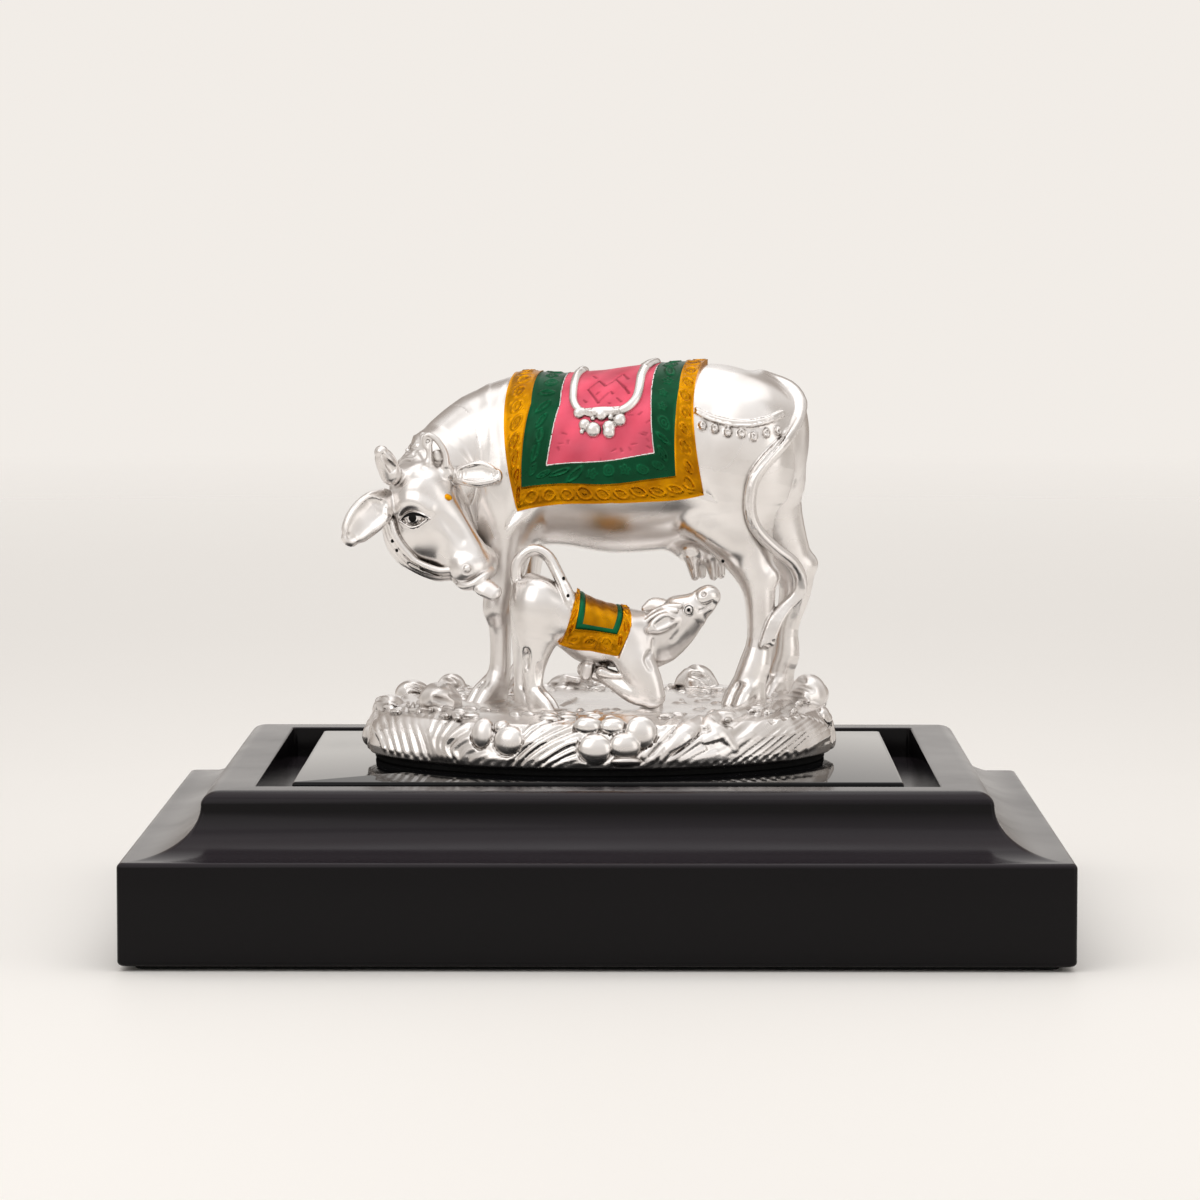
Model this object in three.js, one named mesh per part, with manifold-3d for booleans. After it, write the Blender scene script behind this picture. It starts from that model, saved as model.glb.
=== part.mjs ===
// Cow and calf statue on a moulded black plinth.
// Millimetres, +Z up. The origin is under the middle of the plinth, on the surface it stands on.
// The cow faces -X with its head turned to the front (-Y), and the calf stands in front of it.

import * as THREE from 'three';
import { mergeVertices } from 'three/addons/utils/BufferGeometryUtils.js';
import Module from 'manifold-3d';

const wasm = await Module();
wasm.setup();

// Driving dimensions of the base
const PLINTH_WIDTH = 230;
const PLINTH_DEPTH = 200;
const FELT_THICK = 1;
const FELT_INSET = 4;
const BLOCK_TOP = 26;
const RIM_TOP = 41;
const EDGE_ROUND = 1.3;
const COVE_INSET = 18.6;
const COVE_TOP = 37.5;
const RIM_OUTER_INSET = 23;
const RIM_INNER_INSET = 31;
const CHANNEL = 8.5;
const RECESS_FLOOR = 33;
const PLATE_EDGE = 0.5;

// Driving dimensions of the casting, with z measured from the top of the plate
const PAD_THICK = 1.8;
const PAD_INSET = 3.2;
const PAD_STEPS = 44;
const GROUND_HALF_WIDTH = 61.2;
const GROUND_HALF_DEPTH = 52;
const GROUND_TOP = 14.6;
const COW_MIDLINE = 4;
const CALF_MIDLINE = -20;
const CLOTH_LIFT = 0.9;
const CLOTH_SUNK = 1.5;
const GARLAND_RADIUS = 1.1;
const STRAND_RADIUS = 1.1;
const STRING_RADIUS = 1.3;
const CALF_TAIL_RADIUS = 1.5;
const TAIL_RADIUS = 1.6;
const HALF_TURN = Math.PI;

// Turns a closed geometry into a solid that can be joined and cut
function solid(geometry) {
  const bare = geometry.index ? geometry.clone() : geometry;
  bare.deleteAttribute('normal');
  bare.deleteAttribute('uv');
  const merged = mergeVertices(bare, 1e-4);
  const vertProperties = new Float32Array(merged.attributes.position.array);
  const triVerts = new Uint32Array(merged.index.array);
  return new wasm.Manifold(new wasm.Mesh({ numProp: 3, vertProperties, triVerts }));
}

function geometryOf(body) {
  const mesh = body.getMesh();
  const geometry = new THREE.BufferGeometry();
  geometry.setAttribute('position', new THREE.BufferAttribute(mesh.vertProperties, 3));
  geometry.setIndex(new THREE.BufferAttribute(mesh.triVerts, 1));
  return geometry;
}

function indexed(points, faces) {
  const geometry = new THREE.BufferGeometry();
  const flat = points.flatMap((point) => point.toArray());
  geometry.setAttribute('position', new THREE.Float32BufferAttribute(flat, 3));
  geometry.setIndex(faces);
  return geometry;
}

function join(bodies) {
  return bodies.reduce((whole, body) => whole.add(body));
}

// Closes a list of equal rings of points into a skin, with one point at each end
function skin(rings, startTip, endTip) {
  const sides = rings[0].length;
  const points = [startTip, ...rings.flat(), endTip];
  const faces = [];
  for (let side = 0; side < sides; side += 1) {
    const next = (side + 1) % sides;
    faces.push(0, 1 + next, 1 + side);
    for (let ring = 0; ring < rings.length - 1; ring += 1) {
      const low = 1 + ring * sides;
      const high = low + sides;
      faces.push(low + side, low + next, high + side);
      faces.push(low + next, high + next, high + side);
    }
    const last = 1 + (rings.length - 1) * sides;
    faces.push(last + side, last + next, points.length - 1);
  }
  return indexed(points, faces);
}

function curveThrough(points) {
  return new THREE.CatmullRomCurve3(points, false, 'catmullrom', 0.5);
}

// A rounded limb through stations of [x, y, z, across, fore]: a centre and two half sizes.
// The fore half size lies toward the given direction, and the across one square to it.
// Each end is a dome as long as its cap times the mean half size, or flat where the cap is 0.
function limb(stations, { sides = 8, steps = 1, toward = [0, 0, 1], caps = [0.7, 0.7] } = {}) {
  const line = curveThrough(stations.map(([x, y, z]) => new THREE.Vector3(x, y, z)));
  const sizes = curveThrough(stations.map(([, , , across, fore]) => new THREE.Vector3(across, fore, 0)));
  const heading = new THREE.Vector3(...toward);
  const ringAt = (u, shift, shrink) => {
    const along = line.getTangent(u);
    const across = new THREE.Vector3().crossVectors(heading, along).normalize();
    const fore = new THREE.Vector3().crossVectors(along, across);
    const size = sizes.getPoint(u).multiplyScalar(shrink);
    const centre = line.getPoint(u).addScaledVector(along, shift);
    return Array.from({ length: sides }, (_, side) => {
      const turn = (2 * HALF_TURN * side) / sides;
      return centre.clone()
        .addScaledVector(across, size.x * Math.cos(turn))
        .addScaledVector(fore, size.y * Math.sin(turn));
    });
  };
  const domeLength = (u, cap) => (cap * (sizes.getPoint(u).x + sizes.getPoint(u).y)) / 2;
  const tipAt = (u, cap, sign) => line.getPoint(u)
    .addScaledVector(line.getTangent(u), sign * domeLength(u, cap));
  const domeTurns = [0.62, 0.32].map((part) => (part * HALF_TURN) / 2);
  const rings = [];
  if (caps[0] > 0) {
    domeTurns.forEach((turn) => {
      rings.push(ringAt(0, -domeLength(0, caps[0]) * Math.sin(turn), Math.cos(turn)));
    });
  }
  const count = (stations.length - 1) * steps;
  for (let step = 0; step <= count; step += 1) {
    rings.push(ringAt(step / count, 0, 1));
  }
  if (caps[1] > 0) {
    domeTurns.slice().reverse().forEach((turn) => {
      rings.push(ringAt(1, domeLength(1, caps[1]) * Math.sin(turn), Math.cos(turn)));
    });
  }
  return solid(skin(rings, tipAt(0, caps[0], -1), tipAt(1, caps[1], 1)));
}

// A round boulder, pebble, bead or bump
function pebble([x, y, z], [rx, ry, rz], around = 7, bands = 4) {
  const geometry = new THREE.SphereGeometry(1, around, bands);
  geometry.rotateX(HALF_TURN / 2);
  geometry.scale(rx, ry, rz);
  geometry.translate(x, y, z);
  return solid(geometry);
}

// A tube of one radius along a list of points
function rope(points, radius, sides) {
  return limb(points.map((point) => [...point, radius, radius]), { sides, toward: [0.3, 1, 0.2] });
}

// A trunk is upright rings along X. Its stations are [x, z of the widest line, half width, rise, drop].
// Turn 0 is the spine, and turns toward -1 and 1 go down the near and the far side.
function makeTrunk(stations, midline) {
  const line = curveThrough(stations.map(([x, z, width]) => new THREE.Vector3(x, z, width)));
  const heights = curveThrough(stations.map(([, , , rise, drop]) => new THREE.Vector3(rise, drop, 0)));
  const point = (u, turn, lift = 0) => {
    const place = line.getPoint(u);
    const reach = heights.getPoint(u);
    const angle = turn * HALF_TURN;
    const height = Math.cos(angle) > 0 ? reach.x : reach.y;
    return new THREE.Vector3(
      place.x,
      midline + (place.z + lift) * Math.sin(angle),
      place.y + (height + lift) * Math.cos(angle),
    );
  };
  const stepAt = (x) => {
    let low = 0;
    let high = 1;
    for (let pass = 0; pass < 24; pass += 1) {
      const middle = (low + high) / 2;
      if (line.getPoint(middle).x < x) {
        low = middle;
      } else {
        high = middle;
      }
    }
    return (low + high) / 2;
  };
  const body = (sides, steps, domes) => {
    const ringAt = (u, shift, shrink) => {
      const place = line.getPoint(u);
      return Array.from({ length: sides }, (_, side) => {
        const skinPoint = point(u, -(2 * side) / sides);
        return new THREE.Vector3(
          skinPoint.x + shift,
          midline + (skinPoint.y - midline) * shrink,
          place.y + (skinPoint.z - place.y) * shrink,
        );
      });
    };
    const bulge = [[0.8, 0.6], [0.4, 0.9]];
    const rings = bulge.map(([part, shrink]) => ringAt(0, -domes[0] * part, shrink));
    for (let step = 0; step <= steps; step += 1) {
      rings.push(ringAt(step / steps, 0, 1));
    }
    bulge.slice().reverse().forEach(([part, shrink]) => rings.push(ringAt(1, domes[1] * part, shrink)));
    const front = line.getPoint(0);
    const rear = line.getPoint(1);
    const startTip = new THREE.Vector3(front.x - domes[0], midline, front.y);
    const endTip = new THREE.Vector3(rear.x + domes[1], midline, rear.y);
    return solid(skin(rings, startTip, endTip));
  };
  return { point, stepAt, body };
}

const cowTrunk = makeTrunk([
  [-28, 72, 11.0, 23.0, 21.0],
  [-20, 75, 15.0, 23.3, 21.5],
  [-10, 76, 17.0, 22.0, 21.8],
  [2, 76, 18.5, 22.8, 23.6],
  [12, 77, 18.8, 23.2, 24.4],
  [22, 78, 18.0, 23.0, 24.0],
  [33, 80, 16.5, 20.8, 21.5],
  [43, 82, 14.0, 15.4, 18.0],
  [50, 83, 9.5, 10.5, 13.0],
], COW_MIDLINE);

const calfTrunk = makeTrunk([
  [-20, 42, 4.6, 5.6, 6.0],
  [-17, 41, 6.0, 7.8, 8.0],
  [-11, 39, 7.0, 7.7, 8.6],
  [-5.6, 36.5, 7.2, 7.2, 10.0],
  [0, 34.5, 7.0, 6.6, 9.4],
  [7, 33, 6.4, 6.2, 7.6],
  [12, 32, 5.0, 5.4, 6.0],
], CALF_MIDLINE);

// A cloth lies round a trunk. Its front and rear edges are curves of the part from the spine to a hem.
function makeCloth(body, { front, rear, hems }) {
  return (along, part, lift) => {
    const x = front(part) + (rear(part) - front(part)) * along;
    const hem = hems[0] + (hems[1] - hems[0]) * along;
    return body.point(body.stepAt(x), part * hem, lift);
  };
}

const saddleCloth = makeCloth(cowTrunk, {
  front: (part) => -21.5 - 3 * Math.sin(HALF_TURN * Math.abs(part)),
  rear: (part) => 27.8 - 3.4 * Math.sin(HALF_TURN * Math.abs(part)) - 1.6 * part * part,
  hems: [0.63, 0.61],
});

const calfCloth = makeCloth(calfTrunk, {
  front: (part) => -5.6 - 4.2 * part * part,
  rear: (part) => 7.0 + 1.6 * Math.sin(HALF_TURN * Math.abs(part)) - 1.8 * part * part,
  hems: [0.76, 0.74],
});

// The cloth's own thickness: a band whose inner side is sunk in the trunk
function clothBody(clothPoint, columns, rows) {
  const rings = [];
  for (let column = 0; column <= columns; column += 1) {
    const outside = [];
    const inside = [];
    for (let row = 0; row <= rows; row += 1) {
      const part = (2 * row) / rows - 1;
      outside.push(clothPoint(column / columns, part, CLOTH_LIFT));
      inside.push(clothPoint(column / columns, part, -CLOTH_SUNK));
    }
    rings.push([...outside, ...inside.reverse()]);
  }
  return solid(skinBand(rings));
}

// Closes rings that are folded strips, filling each end strip between its two long edges
function skinBand(rings) {
  const count = rings[0].length;
  const faces = [];
  for (let ring = 0; ring < rings.length - 1; ring += 1) {
    for (let step = 0; step < count; step += 1) {
      const next = (step + 1) % count;
      const low = ring * count;
      const high = low + count;
      faces.push(low + step, high + step, low + next);
      faces.push(low + next, high + step, high + next);
    }
  }
  const last = (rings.length - 1) * count;
  for (let step = 0; step < count / 2 - 1; step += 1) {
    const back = count - 1 - step;
    faces.push(step, step + 1, back, back, step + 1, back - 1);
    faces.push(last + step, last + back, last + step + 1, last + back, last + back - 1, last + step + 1);
  }
  return indexed(rings.flat(), faces);
}

// The garland hangs from the spine in a loop down each side, with a cluster of beads at its lowest part
function garland(side) {
  const place = (along, part) => saddleCloth(along, side * part, CLOTH_LIFT + 0.5).toArray();
  const strand = [[0.36, 0], [0.343, 0.2], [0.345, 0.35], [0.38, 0.47], [0.5, 0.51], [0.63, 0.49],
    [0.7, 0.44], [0.72, 0.33], [0.71, 0.16], [0.73, 0]].map(([along, part]) => place(along, part));
  const pieces = [rope(strand, GARLAND_RADIUS, 5)];
  if (side < 0) {
    [[0.4, 0.53, 1.5], [0.43, 0.6, 1.8], [0.52, 0.55, 2], [0.5, 0.65, 1.8], [0.6, 0.59, 1.9]]
      .forEach(([along, part, radius]) => {
        pieces.push(pebble(place(along, part), [radius, radius, radius], 6, 3));
      });
  }
  return join(pieces);
}

// Cow's head, in its own frame: along the face, out of the face, and to the cow's right
const HEAD_TOP = new THREE.Vector3(-44.7, -18, 77);
const HEAD_ALONG = new THREE.Vector3(0.5, -0.15, -0.853).normalize();
const HEAD_FACE = new THREE.Vector3(0.43, -0.84, 0.33);
HEAD_FACE.addScaledVector(HEAD_ALONG, -HEAD_FACE.dot(HEAD_ALONG)).normalize();
const HEAD_SIDE = new THREE.Vector3().crossVectors(HEAD_ALONG, HEAD_FACE);

function onHead(along, side, face) {
  return HEAD_TOP.clone()
    .addScaledVector(HEAD_ALONG, along)
    .addScaledVector(HEAD_SIDE, side)
    .addScaledVector(HEAD_FACE, face)
    .toArray();
}

// The skull's rings, from the poll to the nose: [along, half width, bridge, throat]
const SKULL_RINGS = [
  [-2.2, 5.4, -2.8, -11],
  [0.5, 8.2, -0.6, -14],
  [6.5, 9.1, -0.2, -19.2],
  [13.5, 9.4, -0.2, -22.6],
  [18.5, 8.6, -0.2, -22.4],
  [23.5, 6.9, -0.2, -19.6],
  [28.5, 6.5, 0.1, -13.4],
  [32.5, 6.2, 0, -10.4],
  [34.6, 5, -1.2, -9],
];
const SKULL_SIDES = 12;

function skull() {
  const middle = ([, , bridge, throat]) => (bridge + throat) / 2;
  const rings = SKULL_RINGS.map((row) => Array.from({ length: SKULL_SIDES }, (_, step) => {
    const turn = (2 * HALF_TURN * step) / SKULL_SIDES;
    const [along, width, bridge, throat] = row;
    const face = middle(row) + ((bridge - throat) / 2) * Math.cos(turn);
    return new THREE.Vector3(...onHead(along, width * Math.sin(turn), face));
  }));
  const poll = new THREE.Vector3(...onHead(-3.2, 0, middle(SKULL_RINGS[0])));
  const nose = new THREE.Vector3(...onHead(35.8, 0, middle(SKULL_RINGS[SKULL_RINGS.length - 1])));
  return solid(skin(rings, poll, nose));
}

function cowHead() {
  const tongue = limb([
    [-32.5, -23, 46.6, 2.6, 2.2],
    [-27.6, -24, 42.8, 2.6, 1.9],
  ], { sides: 6, caps: [0.3, 0.8] });
  const eyes = [-1, 1].map((side) => pebble(onHead(12.2, side * 7.6, -5.6), [1.9, 1.9, 1.9], 6, 3));
  return join([skull(), tongue, ...eyes]);
}

function horns() {
  const right = limb([
    [-52.6, -17.4, 73, 2.4, 2.2],
    [-54.6, -18, 77, 2.2, 1.8],
    [-56, -18.6, 80, 1.4, 1.2],
  ], { sides: 6, toward: [0.3, 1, 0.2] });
  const left = limb([
    [-41, -16, 75, 3, 2.6],
    [-40.4, -15.6, 79.2, 2.5, 2.2],
    [-42, -16.4, 82.2, 1.8, 1.6],
    [-44.4, -17.4, 82.6, 1.1, 1.1],
  ], { sides: 6, toward: [0.3, 1, 0.2] });
  return [right, left];
}

const HOLLOW_WIDTH = 0.72;
const HOLLOW_DEPTH = 0.8;

// A cupped ear: a leaf with a smaller leaf cut out of the side that faces out
function ear(stations, facing, depth, sides = 7) {
  const leaf = limb(stations, { sides, toward: facing, caps: [0.5, 0.9] });
  const out = new THREE.Vector3(...facing).normalize().multiplyScalar(depth);
  const hollow = limb(
    stations.slice(1).map(([x, y, z, across, fore]) => (
      [x + out.x, y + out.y, z + out.z, across * HOLLOW_WIDTH, fore * HOLLOW_DEPTH]
    )),
    { sides: sides - 2, toward: facing, caps: [1, 0.6] },
  );
  return leaf.subtract(hollow);
}

function cowEars() {
  const right = ear([
    [...onHead(5.5, 8, -9), 2.4, 2],
    [-57.4, -21.6, 64.4, 3.7, 2],
    [-60.8, -22.4, 60.8, 4, 1.9],
    [-63, -22.8, 57.8, 2.4, 1.4],
  ], [0.25, -0.95, 0.2], 1.5);
  const left = ear([
    [...onHead(3.5, -7.5, -8), 2.4, 2],
    [-34.4, -16.6, 72.8, 3.3, 1.9],
    [-30.2, -17, 73.2, 3.5, 1.8],
    [-26.9, -16.6, 73.3, 2, 1.2],
  ], [0.1, -0.95, 0.3], 1.4);
  return [right, left];
}

function neck() {
  return limb([
    [-17, 4, 78, 13.5, 18.5],
    [-28, 3, 78.5, 13, 18.6],
    [-37, 0, 76, 11.5, 15],
    [-42.6, -4.6, 70.6, 10, 12],
    [-44.4, -9, 66.8, 8.2, 9.4],
  ], { sides: 14, steps: 2, caps: [0.3, 0.3] });
}

// Neck jewellery: a broad band over the nape and two strands that hang behind the jaw
function collar() {
  const band = limb([
    [-39.2, -1.8, 74.2, 11.6, 14.6],
    [-42.4, -4.6, 70.6, 10.8, 12.9],
  ], { sides: 14, caps: [0.04, 0.04] });
  const strands = [0, 1].map((strand) => rope([
    [-54.6, -15.5, 64 - strand],
    [-53.6 + strand, -16, 58.4],
    [-51 + strand, -16.6, 54 + strand],
    [-47 + strand * 0.5, -17, 50.4 + strand * 1.5],
    [-42.8, -17.2, 48 + strand * 1.7],
    [-38.4, -17, 47.4 + strand * 1.7],
  ], STRAND_RADIUS, 5));
  return [band, ...strands];
}

// Legs run down from the trunk to a hoof that stands in the ground
function leg(stations) {
  return limb(stations, { toward: [1, 0, 0], caps: [0.4, 0] });
}

function cowLegs() {
  const nearFore = leg([
    [-23, -3.5, 70, 7, 9.5],
    [-24, -4.6, 58, 6.2, 8],
    [-25, -5, 47, 4.6, 5.6],
    [-25.6, -5, 39, 3.7, 3.9],
    [-25.5, -5, 32, 2.7, 2.8],
    [-25.6, -5, 24, 2.6, 2.7],
    [-26.2, -5.2, 20.3, 3.3, 3.3],
    [-27.2, -5.5, 17.2, 3.7, 3.8],
    [-27.8, -5.8, 13, 4.2, 4.6],
  ]);
  const farFore = leg([
    [-20, 11, 70, 7, 9],
    [-20, 12, 57, 5.6, 6.4],
    [-20, 12.5, 46, 4.2, 4.4],
    [-20, 12.6, 37, 3.4, 3.4],
    [-20, 12.6, 24, 2.5, 2.6],
    [-20.6, 12.6, 20.3, 3.2, 3.2],
    [-21.8, 12.6, 13, 4, 4.4],
  ]);
  const nearHind = leg([
    [37, -2.5, 88, 8, 12],
    [36, -4.5, 76, 9, 14],
    [34.2, -5.5, 66, 8, 13.2],
    [35.6, -6, 58.5, 6.6, 9.8],
    [38.2, -6.6, 52, 5, 6.8],
    [40.3, -7.2, 46, 3.9, 4.8],
    [41.1, -7.6, 40, 3.1, 3.8],
    [41, -8, 31, 2.6, 3.2],
    [40, -8.4, 25, 3.3, 4],
    [38.6, -8.8, 20.6, 3.5, 4.2],
    [37.4, -9, 13, 4.2, 5.8],
  ]);
  const farHind = leg([
    [40, 10, 87, 8, 12],
    [41, 12, 74, 8.5, 12.5],
    [41.6, 13.5, 64, 7.4, 11.4],
    [46, 14.5, 55, 5.4, 8.2],
    [50.6, 15.4, 46.5, 3.9, 5.2],
    [50.6, 16, 40, 3.1, 4],
    [48.6, 16.2, 32, 2.6, 3.2],
    [48.2, 16.4, 25, 3.2, 3.9],
    [46.8, 16.6, 20.5, 3.4, 4],
    [45.4, 16.8, 13, 4.2, 5.4],
  ]);
  return [nearFore, farFore, nearHind, farHind];
}

function udder() {
  const bag = pebble([26, 3, 55], [8, 7, 6.5], 10, 6);
  const teats = [[24.3, -1], [29.2, 0], [25.5, 6], [30.6, 6]].map(([x, y]) => limb([
    [x, y, 50.5, 1.8, 1.8],
    [x + 0.1, y, 46.6, 1.05, 1.05],
  ], { sides: 5, toward: [1, 0, 0] }));
  return [bag, ...teats];
}

// The tail starts as a ridge at the rump's end, swings round to the near hip and hangs down the leg
function cowTail() {
  return rope([
    [41.5, COW_MIDLINE, 97.4],
    [48.4, COW_MIDLINE - 1, 95.2],
    [51.4, COW_MIDLINE - 4, 91.6],
    [50.8, COW_MIDLINE - 9, 87],
    [47.4, -11, 82],
    [42.9, -14, 77.4],
    [39.3, -15.4, 72.4],
    [38.3, -15.4, 66.4],
    [39.1, -14.6, 61.5],
    [41.6, -13.4, 57.6],
    [45.4, -12, 54],
    [49.3, -10, 50.8],
    [51.4, -8, 46.6],
    [50.8, -7, 42.4],
    [47.8, -7.6, 39.4],
    [45, -9.6, 36],
    [43.2, -10.8, 30.5],
  ], TAIL_RADIUS, 5);
}

// The string across the near hip, from the cloth's rear edge to the tail
function hipString() {
  const count = 6;
  const points = Array.from({ length: count + 1 }, (_, index) => {
    const part = index / count;
    const turn = -0.372 - 0.052 * Math.sin(HALF_TURN * part) + 0.03 * part;
    return cowTrunk.point(cowTrunk.stepAt(26.4 + 20 * part), turn, 0.5).toArray();
  });
  return rope(points, STRING_RADIUS, 5);
}

// Calf: hindquarters up, kneeling on its forelegs, head raised to the udder
function calf() {
  const body = calfTrunk.body(12, 7, [2.6, 3]);
  const head = limb([
    [6, CALF_MIDLINE, 32.5, 5.6, 7.2],
    [13.5, CALF_MIDLINE, 31.8, 4.8, 7.2],
    [19.4, CALF_MIDLINE, 35.4, 4.4, 6],
    [24, CALF_MIDLINE, 39.3, 3.3, 4.3],
    [27, CALF_MIDLINE, 41.5, 2.6, 3],
  ], { sides: 10, caps: [0.3, 0.75] });
  const ears = [
    ear([
      [19, -23.6, 38, 1.4, 1.3],
      [16.2, -25, 36.6, 2.3, 1.2],
      [13.6, -25.4, 35.2, 1.5, 1],
    ], [0.1, -0.95, 0.2], 0.9, 6),
    limb([
      [18.2, -17.6, 38.6, 1.5, 1.2],
      [16.4, -16.4, 39.8, 1.8, 1.1],
      [13.8, -15.4, 39.8, 1.9, 0.9],
      [11.6, -15, 39, 1.1, 0.7],
    ], { sides: 6, toward: [0.1, -0.95, 0.3], caps: [0.5, 0.9] }),
  ];
  const eyes = [-1, 1].map((side) => pebble([22.4, CALF_MIDLINE + 3.4 * side, 39.6], [1.1, 1, 1.1], 5, 3));
  return [body, head, ...ears, ...eyes, ...calfLegs()];
}

function calfLegs() {
  const nearHind = leg([
    [-15, -23, 40, 3.6, 7],
    [-15.4, -24, 34, 3.4, 5.8],
    [-16.4, -24.4, 28.5, 2.4, 3.6],
    [-16.9, -24.5, 23.5, 2, 2.7],
    [-16.4, -24.7, 18.5, 2, 2.5],
    [-14.6, -25, 13.2, 2.5, 3.4],
  ]);
  const farHind = leg([
    [-17, -16, 40, 3.4, 6],
    [-18, -15.6, 33, 3, 4.6],
    [-19.6, -15.4, 25, 2, 2.4],
    [-19.6, -15.2, 19, 1.9, 2.2],
    [-19, -15, 13, 2.4, 3],
  ]);
  const nearFore = limb([
    [6.5, -23.4, 31, 3, 5],
    [10.5, -24.2, 24.5, 2.4, 3.6],
    [14, -24.6, 18.6, 2, 2.6],
    [14.2, -24.6, 14.6, 2, 2.8],
  ], { toward: [1, 0, 0], caps: [0.4, 0] });
  const nearShin = limb([
    [13.4, -24.4, 16.4, 1.9, 2.2],
    [6, -23.4, 19.6, 1.7, 2.1],
    [-0.4, -22.6, 22.6, 1.9, 2.2],
    [-2.6, -22.4, 23.6, 2, 2.3],
  ], { sides: 7, caps: [0.4, 0.4] });
  const farFore = limb([
    [8, -16.8, 30, 2.8, 4.6],
    [12, -16.4, 22, 2.2, 3],
    [13.6, -16.2, 14.6, 2, 2.6],
  ], { sides: 7, toward: [1, 0, 0], caps: [0.4, 0] });
  const farShin = limb([
    [12.8, -16.2, 17, 1.9, 2.1],
    [4, -16.4, 21, 1.7, 2],
    [-3.6, -16.8, 24, 1.9, 2.2],
  ], { sides: 7, caps: [0.4, 0.4] });
  return [nearHind, farHind, nearFore, nearShin, farFore, farShin];
}

function calfTail() {
  return rope([
    [-19.4, -20, 42.5],
    [-21, -20, 46.6],
    [-20.8, -20.2, 51],
    [-18.4, -20.4, 54.1],
    [-15.6, -20.6, 54.6],
    [-12.8, -21, 52.9],
    [-10.8, -22, 49.4],
    [-9, -23.6, 45.8],
    [-7.4, -25.4, 42],
  ], CALF_TAIL_RADIUS, 6);
}

// The oval ground: a bulging side cut into slanting clumps of grass, under a nearly flat top
function ground(sides = 50) {
  const profile = [
    [0.955, PAD_THICK, 0],
    [0.98, PAD_THICK + 0.9, 0.3],
    [1, 5.6, 1],
    [0.99, 9.6, 1],
    [0.94, GROUND_TOP - 1.2, 0.7],
    [0.86, GROUND_TOP, 0],
  ];
  const rings = profile.map(([reach, z, relief]) => Array.from({ length: sides }, (_, side) => {
    const turn = (2 * HALF_TURN * side) / sides;
    const blades = Math.cos(24 * turn + z * 0.45) * 0.9 + Math.cos(5 * turn) * 0.4;
    const grow = reach + (relief * (blades - 0.9)) / GROUND_HALF_WIDTH;
    return new THREE.Vector3(
      GROUND_HALF_WIDTH * grow * Math.cos(turn),
      GROUND_HALF_DEPTH * grow * Math.sin(turn),
      z,
    );
  }));
  const low = new THREE.Vector3(0, 0, PAD_THICK);
  const high = new THREE.Vector3(0, 0, GROUND_TOP + 0.3);
  return solid(skin(rings, low, high));
}

// Boulders on the top of the ground: centre, and half sizes
function rocks() {
  const boulders = [
    [[-40.6, -19.5, 16.2], [5.6, 4.6, 4.8]],
    [[-49, 13, 14.6], [4.6, 5, 3.8]],
    [[-39.4, 29, 14.6], [3.9, 3.6, 4]],
    [[25.4, 34, 14.6], [5.4, 4.8, 6]],
    [[54.4, 5, 14.8], [5.2, 5, 6.4]],
    [[38.8, -17, 14.6], [3.4, 4.4, 4.4]],
    [[-8, 38, 14.6], [6, 5, 3.4]],
    [[-26, -34, 13.4], [5, 4, 3]],
  ];
  return boulders.map(([at, radii]) => pebble(at, radii, 7, 5));
}

// Pebbles lie in a row along the ground's edge, all the way round
function rimPebbles(count = 12) {
  return Array.from({ length: count }, (_, index) => {
    const turn = (2 * HALF_TURN * (index + 0.3 * Math.sin(7 * index))) / count;
    const reach = 0.895 + 0.025 * Math.sin(5 * index);
    const size = 3.6 + 1.1 * Math.sin(3 * index + 1);
    const z = GROUND_TOP - 3.6 - 2 * Math.sin(2 * index);
    const x = GROUND_HALF_WIDTH * reach * Math.cos(turn);
    const y = GROUND_HALF_DEPTH * reach * Math.sin(turn);
    return pebble([x, y, z], [size, size, size * 0.8], 6, 3);
  });
}

function casting() {
  const trunk = cowTrunk.body(14, 10, [5, 4]);
  const head = [cowHead(), ...horns(), ...cowEars()];
  const cow = [trunk, neck(), ...head, ...collar(), ...cowLegs(), ...udder(), cowTail()];
  const dress = [clothBody(saddleCloth, 4, 12), garland(-1), garland(1), hipString()];
  const young = [...calf(), calfTail(), clothBody(calfCloth, 3, 10)];
  const land = [ground(), ...rocks(), ...rimPebbles()];
  return join([...cow, ...dress, ...young, ...land]);
}

// Rings of a rectangle with small round corners, used by every piece of the base
function roundedRing(halfX, halfY, radius, z, steps = 2) {
  const ring = [];
  const corners = [[1, 1, 0], [-1, 1, 0.5], [-1, -1, 1], [1, -1, 1.5]];
  corners.forEach(([signX, signY, start]) => {
    for (let step = 0; step <= steps; step += 1) {
      const turn = (start + (0.5 * step) / steps) * HALF_TURN;
      ring.push(new THREE.Vector3(
        signX * (halfX - radius) + radius * Math.cos(turn),
        signY * (halfY - radius) + radius * Math.sin(turn),
        z,
      ));
    }
  });
  return ring;
}

function arc(count, point) {
  return Array.from({ length: count + 1 }, (_, step) => point(((step / count) * HALF_TURN) / 2));
}

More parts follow.
